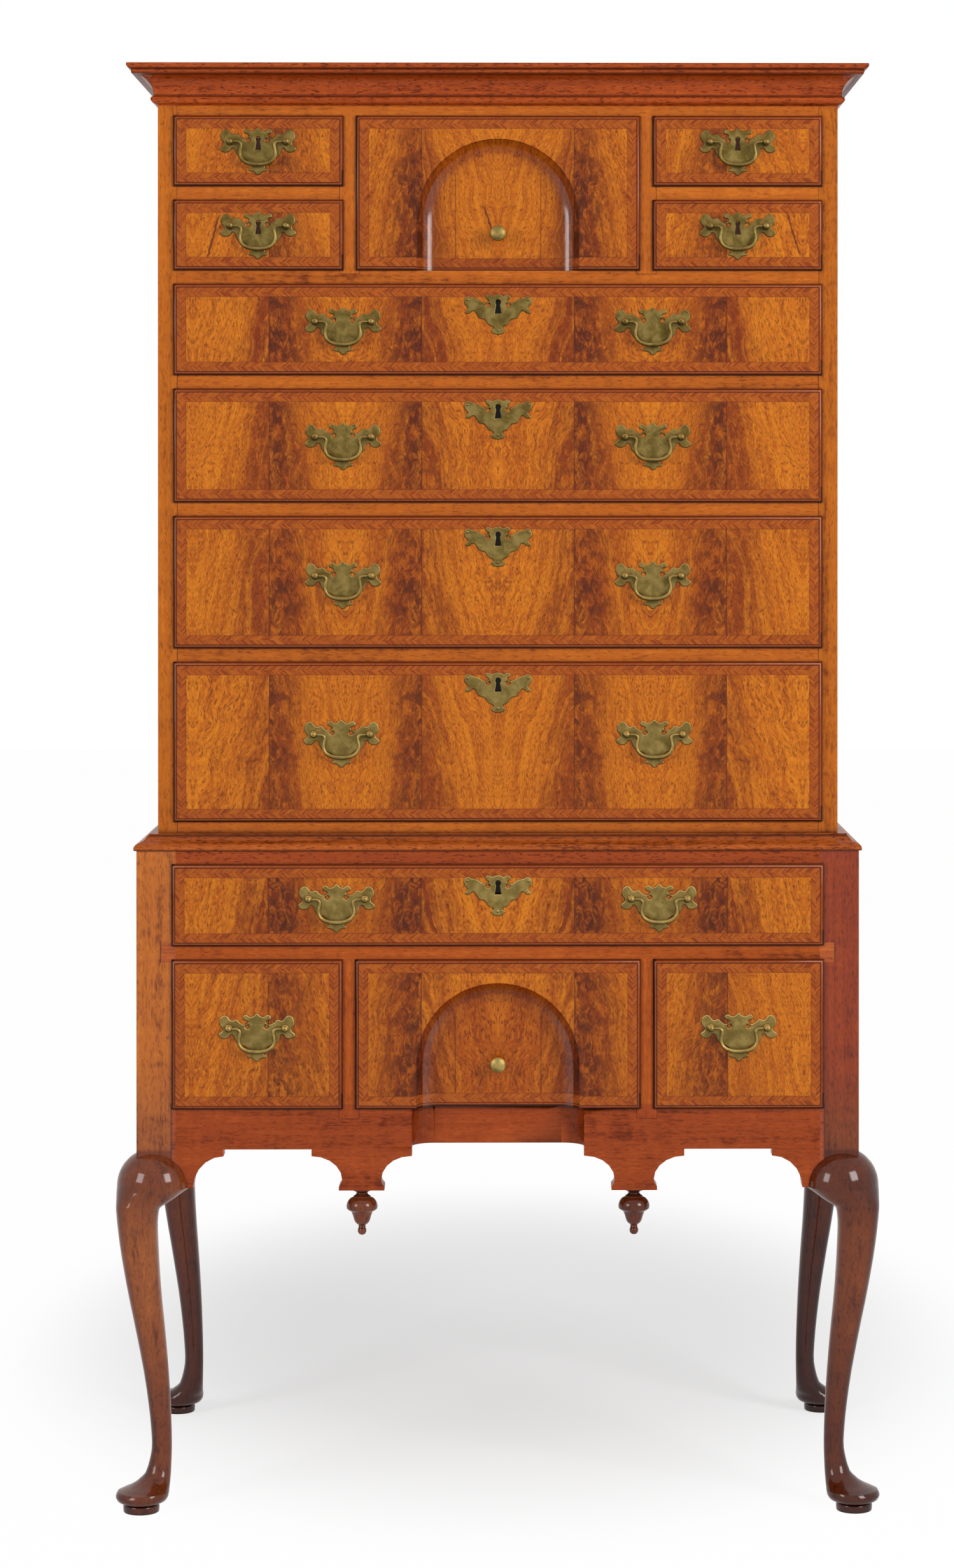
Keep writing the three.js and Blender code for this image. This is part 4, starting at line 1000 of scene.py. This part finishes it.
def brass_finish(w, rubbed):
    """Old cast brass: greenish brown patina, bright where edges and rods are rubbed, with a painted highlight
    on edges facing up and right and painted shade on undersides.
    """
    timber = settings("timber")
    aside, facing, upward = w.normal()
    lit = upward + aside * 0.4
    # Edges are rubbed bright, and those facing up and right also get a painted highlight
    edge = w.ramp(abs(facing), 0.94, 0.6) * w.ramp(lit, -0.3, 0.5, 0.1, 1.0)
    clouds = w.noise(w.coords, (70, 70, 70), 3.0, 0.6, 0.4)
    spots = w.noise(w.coords, (420, 420, 420), 3.0, 0.6)
    scratches = w.noise(w.coords, (240, 240, 1500), 2.0, 0.6)
    lower = w.ramp(w.place[2], 1.5, 0.7, 0.0, 0.08)
    wear_and_glint = w.ramp(clouds, 0.3, 0.72, 0.0, 0.2) + edge * (0.6 if rubbed else 0.9)
    wear_and_glint = w.clamped(wear_and_glint + (rubbed + lower)) * w.ramp(spots, 0.28, 0.55, 0.75, 1.0)
    colour = w.blend(wear_and_glint, timber.patina, timber.bright)
    colour = w.blend(w.ramp(spots, 0.55, 0.72) * 0.25, colour, (0.09, 0.085, 0.025, 1))
    # Painted shade darkens the faces that turn downwards
    colour = w.shaded(colour, w.ramp(lit, -0.1, -0.5) * 0.9, (0.3, 0.27, 0.2))
    w.surface({"Base Color": w.aged_and_shaded(colour, 0.007), "Metallic": w.ramp(wear_and_glint, 0.0, 0.5, 0.86, 1.0),
               "Roughness": w.ramp(wear_and_glint, 0.0, 0.8, 0.46, 0.28) + scratches * 0.1,
               "Normal": w.bump(clouds * 0.8 + spots * 0.25, 0.45, 0.0006)})


def seen_directly(w):
    """1 for rays from the camera and for those that metal and glass send on."""
    path = w.named_outputs(w.tree.nodes.new("ShaderNodeLightPath"))
    seen = w.larger(path["Is Camera Ray"], path["Is Glossy Ray"])
    return w.larger(seen, path["Is Transmission Ray"])


def floor_finish(w):
    """A pale studio floor that fades into the white backdrop."""
    pale = settings("stage").floor_tone
    x, y, z = w.place
    level = w.ramp(w.noise(w.coords, (0.6, 0.6, 0.6), 1.0), 0.3, 0.7, pale - 0.015, pale + 0.015)
    w.surface({"Base Color": w.vector(level, level, level + 0.006), "Roughness": 0.75,
               "Specular IOR Level": 0.15})
    aside = x / 0.8
    along = (y - 0.75) / 1.3
    white = w.ramp(aside * aside + along * along, 0.05, 0.95, 0.5, 0.98)
    glow = w.tree.nodes.new("ShaderNodeEmission")
    w.feed(w.end.inputs["Surface"], w.add("ShaderNodeMixShader", {
        0: white * seen_directly(w), 1: w.shader.outputs[0], 2: glow.outputs[0]}))


FINISHES = {
    "figured_front": front_finish,
    "case_walnut": case_finish,
    "upper_frame_walnut": upper_frame_finish,
    "apron_walnut": lower_frame_finish,
    "lower_case_walnut": lower_case_finish,
    "cornice_walnut": cornice_finish,
    "waist_walnut": waist_finish,
    "leg_walnut": leg_finish,
    "lining_pine": lambda w: pine_finish(w, w.along_y()),
    "back_pine": lambda w: pine_finish(w, w.along_x()),
    "old_brass": lambda w: brass_finish(w, 0.0),
    "rubbed_brass": lambda w: brass_finish(w, 0.05),
    "knob_brass": lambda w: brass_finish(w, 0.18),
    "studio_floor": floor_finish,
}


def finish_named(name):
    """A finish, made the first time it is asked for."""
    if name not in bpy.data.materials:
        FINISHES[name](Finish(name))
    return bpy.data.materials[name]


# Pieces

def case_front(name):
    return LOWER_FRONT if name.startswith("lower") else UPPER_FRONT


def core_corners(name):
    """Two opposite corners of a drawer behind its front, within the play that its sides have."""
    j = settings("joinery")
    low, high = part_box("drawer_" + name)
    side = j.lip_overlap + j.side_gap
    inner = case_front(name) - j.lip_proud + (j.niche_board if name in NICHED else j.front_board)
    top = high.z - j.lip_overlap - j.top_gap
    return (low.x + side, inner, low.z + j.seat_gap), (high.x - side, high.y, top)


def coved_side(half, face):
    """Plan of the right half of a hollow from a little before its edge, round its cove, to its middle."""
    j = settings("joinery")
    flat = half - j.niche_cove
    arc = [(half, face - OVERCUT)]
    for i in range(COVE_STEPS + 1):
        angle = i / COVE_STEPS * math.pi / 2
        arc.append((flat + j.niche_cove * math.cos(angle), face + j.niche_depth * math.sin(angle)))
    return arc + [(0, face + j.niche_depth)]


def niche_cutter(name, face):
    """The hollow of a niche: coved plan up to its spring line, and the same cove turned round its arch."""
    j = settings("joinery")
    low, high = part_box("drawer_" + name)
    spring = high.z - j.niche_margin - j.niche_half
    bottom = low.z - OVERCUT
    bm = bmesh.new()
    verts, edges = chain(bm, [(x, y, spring) for x, y in coved_side(j.niche_half, face)])
    bmesh.ops.spin(bm, geom=verts + edges, axis=(0, -1, 0), cent=(0, 0, spring), dvec=(0, 0, 0),
                   angle=math.pi, steps=ARCH_STEPS, use_merge=False, use_duplicate=False)
    bmesh.ops.remove_doubles(bm, verts=bm.verts, dist=TINY)
    level = [e for e in bm.edges if e.is_boundary and all(abs(v.co.z - spring) < TINY for v in e.verts)]
    feet, foot_edges = pulled(bm, level)
    for vert in feet:
        vert.co.z = bottom
    ends = sorted((v for v in feet if abs(abs(v.co.x) - j.niche_half) < TINY and v.co.y < face - 0.003),
                  key=lambda v: v.co.x)
    sill = bm.edges.new((ends[0], ends[-1]))
    bmesh.ops.contextual_create(bm, geom=foot_edges + [sill])
    bmesh.ops.contextual_create(bm, geom=[e for e in bm.edges if e.is_boundary])
    return mesh_object(outward(bm), "niche_cutter")


def lock_line(name):
    """Height of the line between the two small holes of an escutcheon."""
    b = settings("brass")
    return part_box("drawer_" + name)[1].z - b.lock_margin - ESCUTCHEON_SHARES[0][1] * b.lock_height


def drawer_front(name):
    """A front with its thumbnail edge, its core behind the lip, and its niche or keyhole."""
    j = settings("joinery")
    b = settings("brass")
    low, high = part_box("drawer_" + name)
    case = case_front(name)
    face = case - j.lip_proud
    step = face + j.lip_fillet
    lip_back = case - j.seat_gap
    bm = bmesh.new()
    board(bm, (low.x, step, low.z), (high.x, lip_back, high.z))
    rim = [e for e in bm.edges if all(abs(v.co.y - step) < TINY for v in e.verts)]
    bevelled(bm, rim, j.lip_radius, 6)
    bm.normal_update()
    field = max((f for f in bm.faces if f.normal.y < -0.99), key=lambda f: f.calc_area())
    thickened(bm, [field], (0, -j.lip_fillet, 0))
    rear = max((f for f in bm.faces if f.normal.y > 0.99), key=lambda f: f.calc_area())
    bmesh.ops.inset_region(bm, faces=[rear], thickness=0.001, use_even_offset=True)
    middle_x, middle_z = (low.x + high.x) / 2, (low.z + high.z) / 2
    (left, inner, foot), (right, back, top) = core_corners(name)
    for vert in rear.verts:
        vert.co.x = left if vert.co.x < middle_x else right
        vert.co.z = foot if vert.co.z < middle_z else top
    thickened(bm, [rear], (0, inner - lip_back, 0))
    front = mesh_object(outward(bm), "front_" + name)
    if name in NICHED:
        shaped_by(front, niche_cutter(name, face), "DIFFERENCE")
    if name in LOCKED:
        loop = keyhole_loop(0, lock_line(name) + b.keyhole, b.keyhole * 1.1, b.keyhole_height * 1.04)
        hole = flat_curve("keyhole_cutter", [(loop, "VECTOR")], 0.02, 0.0)
        bmesh.ops.translate(hole, vec=(0, face + 0.012, 0), verts=hole.verts)
        shaped_by(front, mesh_object(hole, "keyhole_cutter"), "DIFFERENCE")
    # What the finish has to know of this front. The middle value of front_half seeds its veneer.
    mesh = front.data
    seed = DRAWERS.index(name) * 1.37
    for label, value in (("front_centre", (middle_x, face, middle_z)),
                         ("front_half", ((high.x - low.x) / 2, seed, (high.z - low.z) / 2)),
                         ("front_figure", PLUMES.get(name, PLAIN_FIGURE))):
        attribute = mesh.attributes.new(label, "FLOAT_VECTOR", "POINT")
        attribute.data.foreach_set("vector", list(value) * len(mesh.vertices))
    dressed(front, "drawer_" + name, "figured_front", ("drawer_" + name,))


def drawer_lining(name):
    """The sides, back and bottom of a drawer."""
    j = settings("joinery")
    (left, inner, foot), (right, back, top) = core_corners(name)
    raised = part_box("drawer_" + name)[0].z + j.bottom_raise
    inside_left, inside_right, inside_back = left + j.thin_board, right - j.thin_board, back - j.thin_board
    bm = bmesh.new()
    board(bm, (left, inner, foot), (inside_left, back, top), 0.0015)
    board(bm, (inside_right, inner, foot), (right, back, top), 0.0015)
    board(bm, (inside_left, inside_back, foot + j.bottom_raise),
          (inside_right, back, top - j.back_drop), 0.0012)
    board(bm, (inside_left, inner, raised), (inside_right, inside_back, raised + j.bottom_board), 0.0004)
    dressed(mesh_object(bm, "lining_" + name), "drawer_" + name, "lining_pine")


class HIGHBOY_OT_drawers(bpy.types.Operator):
    """Builds the thirteen drawers: veneered fronts and linings"""
    bl_idname = "highboy.drawers"
    bl_label = "Drawers"

    def execute(self, context):
        for name in DRAWERS:
            drawer_front(name)
            drawer_lining(name)
        return {"FINISHED"}


def batwing(shares, half, height, hole_share, keyholes):
    """A batwing sheet with two round holes and its keyholes, if any. Its back is at y = 0."""
    b = settings("brass")
    loops = [(whole_outline(shares, half, height), "AUTO")]
    for side in (1, -1):
        hole = circle_loop(side * hole_share[0] * half, hole_share[1] * height, b.plate_hole)
        loops.append((hole, "AUTO"))
    return flat_curve("batwing", loops + [(loop, "VECTOR") for loop in keyholes], b.sheet, b.chamfer)


class HIGHBOY_OT_escutcheons(bpy.types.Operator):
    """Builds the five batwing escutcheons with their keyholes and brads"""
    bl_idname = "highboy.escutcheons"
    bl_label = "Escutcheons"

    def execute(self, context):
        j = settings("joinery")
        b = settings("brass")
        keyhole = keyhole_loop(0, b.keyhole, b.keyhole, b.keyhole_height)
        bm = batwing(ESCUTCHEON_SHARES, b.lock_half, b.lock_height, ESCUTCHEON_HOLE_SHARE, [keyhole])
        for across, up in ESCUTCHEON_BRAD_SHARES:
            section = [(0.0019, 0), (0.0018, 0.0005), (0.0011, 0.001), (0, 0.0012)]
            place = (across * b.lock_half, -b.sheet, up * b.lock_height)
            turn_section(bm, section, place, (0, -1, 0), 10)
        template = mesh_from(outward(bm), "escutcheon")
        for name in LOCKED:
            bm = copied(template, (0, case_front(name) - j.lip_proud, lock_line(name)))
            dressed(mesh_object(bm, "escutcheon_" + name), "drawer_" + name, "old_brass")
        bpy.data.meshes.remove(template)
        return {"FINISHED"}


def pull_plate(with_keyhole):
    """A batwing plate with its two ball-headed posts, about the middle of the line between them."""
    b = settings("brass")
    keyhole = keyhole_loop(0, b.small_keyhole * 1.2, b.small_keyhole, b.small_keyhole_height)
    bm = batwing(PLATE_SHARES, b.plate_half, b.plate_height, PLATE_HOLE_SHARE, [keyhole] * with_keyhole)
    section = section_from(POST_RUNS, b.ball, b.post_length - b.sheet)
    for side in (-1, 1):
        turn_section(bm, section, (side * b.post_spacing / 2, -b.sheet * 0.9, 0), (0, -1, 0), 20)
    return mesh_from(outward(bm), "plate")


def bail_rod():
    """A bail hanging from its pins, whose axis is X through the origin."""
    b = settings("brass")
    half = [(x * b.bail_half, z * b.bail_drop, r) for x, z, r in BAIL_SHARES]
    path = [(-x, z, r) for x, z, r in half] + half[-2::-1]
    curve = bpy.data.curves.new("bail", "CURVE")
    curve.dimensions = "3D"
    curve.bevel_depth = b.rod
    curve.bevel_resolution = 4
    curve.resolution_u = 3
    curve.use_fill_caps = True
    spline = bezier(curve, [(x, 0, z) for x, z, r in path])
    spline.bezier_points.foreach_set("radius", [r for x, z, r in path])
    return mesh_from(curve_to_bmesh(curve, Matrix.Identity(4)), "bail")


class HIGHBOY_OT_pulls(bpy.types.Operator):
    """Builds the sixteen batwing pulls: plates with posts, and swinging bails"""
    bl_idname = "highboy.pulls"
    bl_label = "Pulls"

    def execute(self, context):
        b = settings("brass")
        plain, keyed, rod = pull_plate(False), pull_plate(True), bail_rod()
        for name in PULLS:
            low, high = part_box("plate_" + name)
            drawer = name if name in DRAWERS else name.rsplit("_", 1)[0]
            axis_z = low.z - PLATE_SHARES[-1][1] * b.plate_height
            place = Vector(((low.x + high.x) / 2, high.y, axis_z))
            plate = mesh_object(copied(keyed if "top" in name else plain, place), "pull_plate_" + name)
            dressed(plate, "drawer_" + drawer, "old_brass", ("plate_" + name,), 40)
            bail = mesh_object(copied(rod, place - Vector((0, b.standoff, 0))), "pull_bail_" + name)
            dressed(bail, "bail_" + name, "rubbed_brass", ("bail_" + name,), 60)
        for template in (plain, keyed, rod):
            bpy.data.meshes.remove(template)
        return {"FINISHED"}


class HIGHBOY_OT_knobs(bpy.types.Operator):
    """Turns the two brass knobs of the niched drawers"""
    bl_idname = "highboy.knobs"
    bl_label = "Knobs"

    def execute(self, context):
        for name in NICHED:
            low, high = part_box("knob_" + name)
            bm = bmesh.new()
            section = section_from(KNOB_RUNS, (high.z - low.z) / 2, high.y - low.y, 4)
            turn_section(bm, section, (0, high.y, (low.z + high.z) / 2), (0, -1, 0), 36)
            knob = mesh_object(outward(bm), "turned_knob_" + name)
            dressed(knob, "drawer_" + name, "knob_brass", ("knob_" + name,), 40)
        return {"FINISHED"}


def run_moulding(name, node, runs, finish):
    """A moulding run along the front and returned along both sides, with mitred corners."""
    low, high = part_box(node)
    reach = high.x - UPPER_HIGH.x
    section = section_from(runs, reach, high.z - low.z, 4)
    section = [(0, 0)] * (section[0].x > TINY) + [tuple(p) for p in section] + [(0, high.z - low.z)]
    bm = bmesh.new()
    filled(bm, [(-UPPER_HIGH.x - out, high.y, low.z + up) for out, up in section])
    edges = list(bm.edges)
    for across, at_back in ((-1, False), (1, False), (1, True)):
        verts, edges = pulled(bm, edges)
        for vert in verts:
            out = abs(vert.co.x) - UPPER_HIGH.x
            vert.co.x = across * (UPPER_HIGH.x + out)
            vert.co.y = high.y if at_back else UPPER_FRONT - out
    bmesh.ops.contextual_create(bm, geom=edges)
    dressed(mesh_object(outward(bm), name), "case", finish, (node,), 25)


class HIGHBOY_OT_mouldings(bpy.types.Operator):
    """Runs the cornice and the waist moulding"""
    bl_idname = "highboy.mouldings"
    bl_label = "Mouldings"

    def execute(self, context):
        run_moulding("run_cornice", "cornice", CORNICE_RUNS, "cornice_walnut")
        run_moulding("run_waist", "waist_moulding", WAIST_RUNS, "waist_walnut")
        return {"FINISHED"}


def leg_shaft():
    """Foot, shaft and knee of a leg about the corner of its post's outer faces, which is the origin."""
    j = settings("joinery")
    knee_z = j.leg_height - j.knee_drop
    dome = [((knee_z + up * j.knee_radius) / j.leg_height, (j.knee_setback - out * j.knee_radius) / j.post,
             (j.knee_setback + out * j.knee_radius) / j.post, 2) for out, up in KNEE_SHARES]
    stations = smooth_line(LEG_SHARES, 3)[:-1] + smooth_line([LEG_SHARES[-1]] + dome, 2)
    bm = bmesh.new()
    bmesh.ops.create_circle(bm, cap_ends=False, radius=1.0, segments=LEG_SIDES)
    edges = list(bm.edges)
    ring = list(bm.verts)
    middle = 0.0
    for index, (height, outer, inner, square) in enumerate(stations):
        if index:
            ring, edges = pulled(bm, edges)
        centre = (outer + inner) / 2 * j.post
        half = (inner - outer) / 2 * j.post
        for vert in ring:
            angle = math.atan2(vert.co.y - middle, vert.co.x - middle)
            power = abs(math.cos(angle)) ** square + abs(math.sin(angle)) ** square
            reach = half * power ** (-1 / square)
            vert.co = (centre + reach * math.cos(angle), centre + reach * math.sin(angle),
                       height * j.leg_height)
        middle = centre
        if index == 0:
            bmesh.ops.contextual_create(bm, geom=edges)
    bmesh.ops.contextual_create(bm, geom=edges)
    return mesh_object(outward(bm), "leg")


def knee_block():
    """The coved block behind the knee, against the side board."""
    j = settings("joinery")
    knee_z = j.leg_height - j.knee_drop
    foot = j.post + j.block_reach
    top = j.leg_height - j.skirt_step
    line = [(j.post, top), (j.post, knee_z)]
    for i in range(BLOCK_STEPS + 1):
        angle = i / BLOCK_STEPS * math.pi / 2
        y = foot + j.cove_width * (1 - math.cos(angle))
        line.append((y, knee_z + (top - knee_z) * math.sin(angle)))
    bm = bmesh.new()
    thickened(bm, filled(bm, [(0, y, z) for y, z in line]), (j.side_board, 0, 0), True)
    return mesh_object(outward(bm), "knee_block")


def whole_leg():
    """One leg about the corner of its post's outer faces: shaft, knee, post and knee block."""
    j = settings("joinery")
    knee_z = j.leg_height - j.knee_drop
    leg = leg_shaft()
    far = j.knee_radius * 3
    waist = LOWER_HIGH.z
    skirt = j.leg_height - j.skirt_step
    for low, high, operation in (
            ((j.post, -j.knee_fit, knee_z - j.knee_fit), (far, far, waist), "DIFFERENCE"),
            ((-j.knee_fit, j.post, skirt - j.knee_fit), (far, far, waist), "DIFFERENCE"),
            ((0, 0, knee_z), (j.post, j.post, waist), "UNION")):
        bm = bmesh.new()
        board(bm, low, high)
        shaped_by(leg, mesh_object(bm, "shaping_board"), operation)
    shaped_by(leg, knee_block(), "UNION")
    return leg


class HIGHBOY_OT_legs(bpy.types.Operator):
    """Carves the four cabriole legs with their posts, knees and pad feet"""
    bl_idname = "highboy.legs"
    bl_label = "Legs"

    def execute(self, context):
        pattern = whole_leg()
        for node in sorted(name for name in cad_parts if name.startswith("leg_")):
            across = 1 if "left" in node else -1
            along = 1 if "front" in node else -1
            bm = copied(pattern.data, (LOWER_LOW.x * across, LOWER_LOW.y * along, 0), (across, along, 1))
            leg = mesh_object(outward(bm), "cabriole_" + node)
            dressed(leg, "case", "leg_walnut", (node,), 38)
        discard(pattern)
        return {"FINISHED"}


class HIGHBOY_OT_pendants(bpy.types.Operator):
    """Turns the two drop pendants"""
    bl_idname = "highboy.pendants"
    bl_label = "Pendants"

    def execute(self, context):
        for side in ("left", "right"):
            low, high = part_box("pendant_" + side)
            centre = (low + high) / 2
            section = section_from(PENDANT_RUNS, settings("joinery").pendant_radius, high.z - low.z, 4)
            bm = bmesh.new()
            turn_section(bm, section, (centre.x, centre.y, high.z), (0, 0, -1), 40)
            pendant = mesh_object(outward(bm), "turned_pendant_" + side)
            dressed(pendant, "case", "leg_walnut", ("pendant_" + side,), 40)
        return {"FINISHED"}


def apron_hollow(top):
    """The hollow of the apron, which carries the hollow of the niche above it down to the apron's foot."""
    j = settings("joinery")
    right = coved_side(j.apron_half, LOWER_FRONT)[:-1]
    plan = right + [(-x, y) for x, y in reversed(right)]
    foot = j.leg_height - 0.01
    bm = bmesh.new()
    thickened(bm, filled(bm, [(x, y, foot) for x, y in plan]), (0, 0, top + 0.002 - foot), True)
    return mesh_object(outward(bm), "apron_hollow")


class HIGHBOY_OT_apron(bpy.types.Operator):
    """Hollows the apron of the lower front frame below the niche"""
    bl_idname = "highboy.apron"
    bl_label = "Apron"

    def execute(self, context):
        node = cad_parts["lower_front_frame"]
        bm = bmesh.new()
        bm.from_mesh(node.data)
        bmesh.ops.transform(bm, matrix=node.matrix_world, verts=bm.verts)
        piece = mesh_object(outward(bm), "scalloped_frame")
        shaped_by(piece, apron_hollow(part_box("drawer_lower_centre")[0].z + 0.005), "DIFFERENCE")
        dressed(piece, "case", "apron_walnut", ("lower_front_frame",), 25)
        return {"FINISHED"}


class HIGHBOY_OT_case(bpy.types.Operator):
    """Gives the case frames and the back their finishes"""
    bl_idname = "highboy.case"
    bl_label = "Case"

    def execute(self, context):
        finishes = {"upper_carcass": "case_walnut", "upper_front_frame": "upper_frame_walnut",
                    "lower_carcass": "lower_case_walnut", "upper_back": "back_pine"}
        for node, finish in finishes.items():
            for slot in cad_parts[node].material_slots:
                slot.material = finish_named(finish)
        return {"FINISHED"}


def area_lamp(name, place, aim, size, power):
    """A soft rectangular lamp that looks at a point."""
    data = bpy.data.lights.new(name, "AREA")
    data.shape = "RECTANGLE"
    data.size, data.size_y = size
    data.energy = power
    lamp = linked(name, data)
    lamp.location = place
    lamp.rotation_euler = (Vector(aim) - Vector(place)).to_track_quat("-Z", "Y").to_euler()


class HIGHBOY_OT_stage(bpy.types.Operator):
    """Sets the floor, the lamps, the white backdrop and the camera"""
    bl_idname = "highboy.stage"
    bl_label = "Stage"

    def execute(self, context):
        scene = context.scene
        s = settings("stage")
        bm = bmesh.new()
        bmesh.ops.create_grid(bm, x_segments=8, y_segments=8, size=14.0)
        floor = mesh_object(bm, "floor")
        floor.data.materials.append(finish_named("studio_floor"))
        aim = (0, -0.1, 0.95)
        area_lamp("key_lamp", (2.7, -2.8, 2.45), aim, (1.5, 1.8), s.key_power)
        area_lamp("left_lamp", (-2.8, -2.6, 2.1), aim, (1.3, 1.6), s.side_power)
        world = bpy.data.worlds.new("studio")
        world.use_nodes = True
        world.node_tree.nodes.clear()
        w = Wiring(world.node_tree)
        strength = w.mixed(seen_directly(w), s.sky, 1.0)
        sky = w.add("ShaderNodeBackground", {0: (1, 1, 1, 1), 1: strength})
        w.node("ShaderNodeOutputWorld", {"Surface": sky})
        scene.world = world
        data = bpy.data.cameras.new("camera")
        data.sensor_width = 36.0
        data.lens = s.focal
        data.shift_x, data.shift_y = s.shift_x, s.shift_y
        camera = linked("camera", data)
        camera.location = s.camera_place
        camera.rotation_euler = (math.pi / 2 + s.camera_pitch, 0, -s.camera_yaw)
        scene.camera = camera
        scene.view_settings.view_transform = "Standard"
        return {"FINISHED"}


class HIGHBOY_PT_parts(bpy.types.Panel):
    """Lists the steps that build the highboy"""
    bl_idname = "HIGHBOY_PT_parts"
    bl_label = "Walnut Highboy"
    bl_space_type = "VIEW_3D"
    bl_region_type = "UI"
    bl_category = "Highboy"

    def draw(self, context):
        for step in STEPS:
            self.layout.operator(step.bl_idname)
        for group in SETTINGS:
            sizes = getattr(context.scene, group)
            column = self.layout.column(heading=group.replace("_", " ").title())
            for name in sizes.__annotations__:
                column.prop(sizes, name)


STEPS = [HIGHBOY_OT_stage, HIGHBOY_OT_case, HIGHBOY_OT_apron, HIGHBOY_OT_mouldings, HIGHBOY_OT_legs,
         HIGHBOY_OT_pendants, HIGHBOY_OT_drawers, HIGHBOY_OT_escutcheons, HIGHBOY_OT_pulls, HIGHBOY_OT_knobs]
SETTINGS = {"highboy_joinery": HIGHBOY_PG_joinery, "highboy_brass": HIGHBOY_PG_brass,
            "highboy_timber": HIGHBOY_PG_timber, "highboy_stage": HIGHBOY_PG_stage}


def register():
    for name, group in SETTINGS.items():
        bpy.utils.register_class(group)
        setattr(bpy.types.Scene, name, PointerProperty(type=group))
    for step in STEPS:
        bpy.utils.register_class(step)
    bpy.utils.register_class(HIGHBOY_PT_parts)


def unregister():
    bpy.utils.unregister_class(HIGHBOY_PT_parts)
    for step in reversed(STEPS):
        bpy.utils.unregister_class(step)
    for name, group in reversed(SETTINGS.items()):
        delattr(bpy.types.Scene, name)
        bpy.utils.unregister_class(group)


def main():
    register()
    for step in STEPS:
        family, verb = step.bl_idname.split(".")
        getattr(getattr(bpy.ops, family), verb)()


if __name__ == "__main__":
    main()
